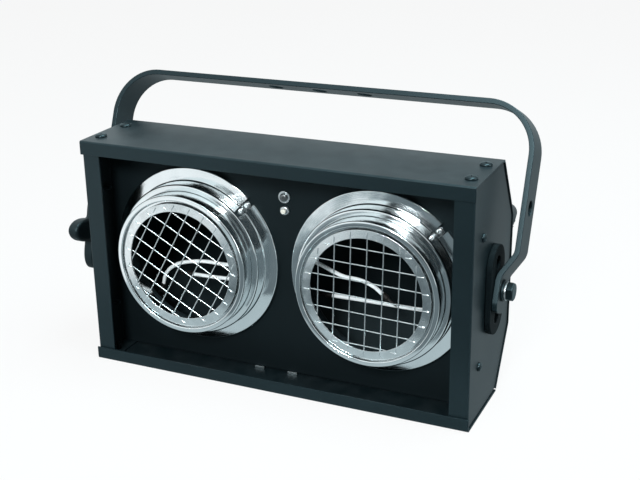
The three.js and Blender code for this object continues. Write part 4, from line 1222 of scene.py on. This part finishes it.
def floor_finish(colour):
    """A pale floor that keeps a soft shadow, white to the camera and grey in reflections."""
    made = bpy.data.materials.new("pale_floor")
    tree = cleared_tree(made)
    path = tree.nodes.new("ShaderNodeLightPath").outputs
    lit = shader_node(tree, "BsdfDiffuse", {"Color": (*colour, 1)}).outputs[0]
    share = math_of(tree, "MULTIPLY", path["Is Camera Ray"], 0.94)
    seen = shader_node(tree, "MixShader", {0: share, 1: lit, 2: glow(tree, (0.955, 0.955, 0.955))})
    mix = shader_node(tree, "MixShader", {
        0: path["Is Glossy Ray"], 1: seen.outputs[0], 2: glow(tree, (0.44, 0.53, 0.56))})
    shader_node(tree, "OutputMaterial", {"Surface": mix.outputs[0]})
    return made


def card_finish(name, colour):
    """A card that shows in reflections only."""
    made = bpy.data.materials.new(name)
    tree = cleared_tree(made)
    shader_node(tree, "OutputMaterial", {"Surface": glow(tree, colour)})
    return made


def reflected_card(name, size, place, towards, colour):
    turn = (Vector(towards) - Vector(place)).to_track_quat("Z", "Y")
    card = stage_card(name, size, place, turn, card_finish(name, colour))
    card.visible_camera = card.visible_diffuse = card.visible_shadow = card.visible_transmission = False


def make_stage():
    colours = bpy.context.scene.blinder_colours
    level = UP.to_track_quat("Z", "Y")
    stage_card("studio_floor", (40, 40), (0, 0, -0.0002), level, floor_finish(colours.floor))
    make_world()
    reflected_card("low_grey_card", (1.7, 1.0), (0.66, -0.66, 0.001), (0.66, -0.66, 1), (0.14, 0.178, 0.195))
    reflected_card("low_white_card", (0.9, 0.9), (-0.72, -0.62, 0.001), (-0.72, -0.62, 1), (0.93, 0.98, 1.0))
    reflected_card("front_dark_flag", (1.9, 1.1), (0.55, -1.5, 0.55), (0.2, 0, 0.3), (0.03, 0.04, 0.045))
    reflected_card("white_bounce", (0.5, 1.4), (-1.3, -0.9, 0.9), (0, 0, 0.1), (1, 1, 1))
    soft_lamp("top_softbox", (0.5, 0.1, 1.9), (0, 0, 0.1), (1.2, 1.0), 50, (0.68, 0.94, 1.0))
    soft_lamp("right_softbox", (2.4, 0.1, 1.0), (0, 0, 0.1), (0.8, 1.2), 16)
    soft_lamp("front_softbox", (0.35, -2.3, 1.6), (0, 0, 0.1), (0.6, 0.6), 76, (0.92, 0.98, 1.0))


def built(context, *makers):
    for make in makers:
        make(context.scene.blinder_sizes)
    return {"FINISHED"}


class StageOperator(bpy.types.Operator):
    """Builds the camera, the floor and the lights"""
    bl_idname = "blinder.stage"
    bl_label = "Stage"

    def execute(self, context):
        make_camera()
        make_stage()
        return {"FINISHED"}


class LeadsOperator(bpy.types.Operator):
    """Builds the four sleeved lamp leads with their ring lugs"""
    bl_idname = "blinder.leads"
    bl_label = "Lamp leads"

    def execute(self, context):
        return built(context, make_leads)


class CoversOperator(bpy.types.Operator):
    """Builds the top, bottom and back covers of the housing"""
    bl_idname = "blinder.covers"
    bl_label = "Covers"

    def execute(self, context):
        return built(context, make_covers, make_back)


class SidePlatesOperator(bpy.types.Operator):
    """Builds both side plates with their turned-in flanges"""
    bl_idname = "blinder.side_plates"
    bl_label = "Side plates"

    def execute(self, context):
        return built(context, make_side_plates)


class LampPanelOperator(bpy.types.Operator):
    """Builds the lamp panel and the washer of its upper screw"""
    bl_idname = "blinder.lamp_panel"
    bl_label = "Lamp panel"

    def execute(self, context):
        return built(context, make_lamp_panel)


class BezelsOperator(bpy.types.Operator):
    """Builds the bezels, lamp cups, wire guards and lamp clips"""
    bl_idname = "blinder.bezels"
    bl_label = "Bezels and guards"

    def execute(self, context):
        return built(context, make_lamp_rings)


class ScrewsOperator(bpy.types.Operator):
    """Builds the cross-head screws"""
    bl_idname = "blinder.screws"
    bl_label = "Screws"

    def execute(self, context):
        return built(context, make_screws)


class YokeOperator(bpy.types.Operator):
    """Builds the yoke from its bent flat bar"""
    bl_idname = "blinder.yoke"
    bl_label = "Yoke"

    def execute(self, context):
        return built(context, make_yoke)


class PivotsOperator(bpy.types.Operator):
    """Builds the pivot plates, washers, nuts and the hexagon bolt"""
    bl_idname = "blinder.pivots"
    bl_label = "Pivots"

    def execute(self, context):
        return built(context, make_pivot_plates, make_pivot_fasteners)


class KnobOperator(bpy.types.Operator):
    """Builds the star knob with its stud"""
    bl_idname = "blinder.knob"
    bl_label = "Clamp knob"

    def execute(self, context):
        return built(context, make_clamp_knob)


class GlandOperator(bpy.types.Operator):
    """Builds the cable gland with its nuts and seal"""
    bl_idname = "blinder.gland"
    bl_label = "Cable gland"

    def execute(self, context):
        return built(context, make_gland)


class TerminalBlockOperator(bpy.types.Operator):
    """Builds the ceramic terminal block behind the lamp panel"""
    bl_idname = "blinder.terminal_block"
    bl_label = "Terminal block"

    def execute(self, context):
        return built(context, make_terminal_block)


OPERATORS = (
    StageOperator, LeadsOperator, CoversOperator, SidePlatesOperator, LampPanelOperator, BezelsOperator,
    ScrewsOperator, YokeOperator, PivotsOperator, KnobOperator, GlandOperator, TerminalBlockOperator,
)


class BlinderPanel(bpy.types.Panel):
    """Sizes, colours and pieces of the blinder light"""
    bl_idname = "VIEW3D_PT_blinder"
    bl_label = "Audience blinder light"
    bl_space_type = "VIEW_3D"
    bl_region_type = "UI"
    bl_category = "Blinder"

    def draw(self, context):
        for settings in (context.scene.blinder_sizes, context.scene.blinder_colours):
            for key in settings.__annotations__:
                self.layout.prop(settings, key)
        for operator in OPERATORS:
            self.layout.operator(operator.bl_idname)


CLASSES = (BlinderSizes, BlinderColours, *OPERATORS, BlinderPanel)


def register():
    for item in CLASSES:
        bpy.utils.register_class(item)
    bpy.types.Scene.blinder_sizes = bpy.props.PointerProperty(type=BlinderSizes)
    bpy.types.Scene.blinder_colours = bpy.props.PointerProperty(type=BlinderColours)


def unregister():
    del bpy.types.Scene.blinder_sizes
    del bpy.types.Scene.blinder_colours
    for item in reversed(CLASSES):
        bpy.utils.unregister_class(item)


def main():
    register()
    bpy.context.scene.view_settings.view_transform = "Standard"
    for operator in OPERATORS:
        group, name = operator.bl_idname.split(".")
        getattr(getattr(bpy.ops, group), name)()


if __name__ == "__main__":
    main()
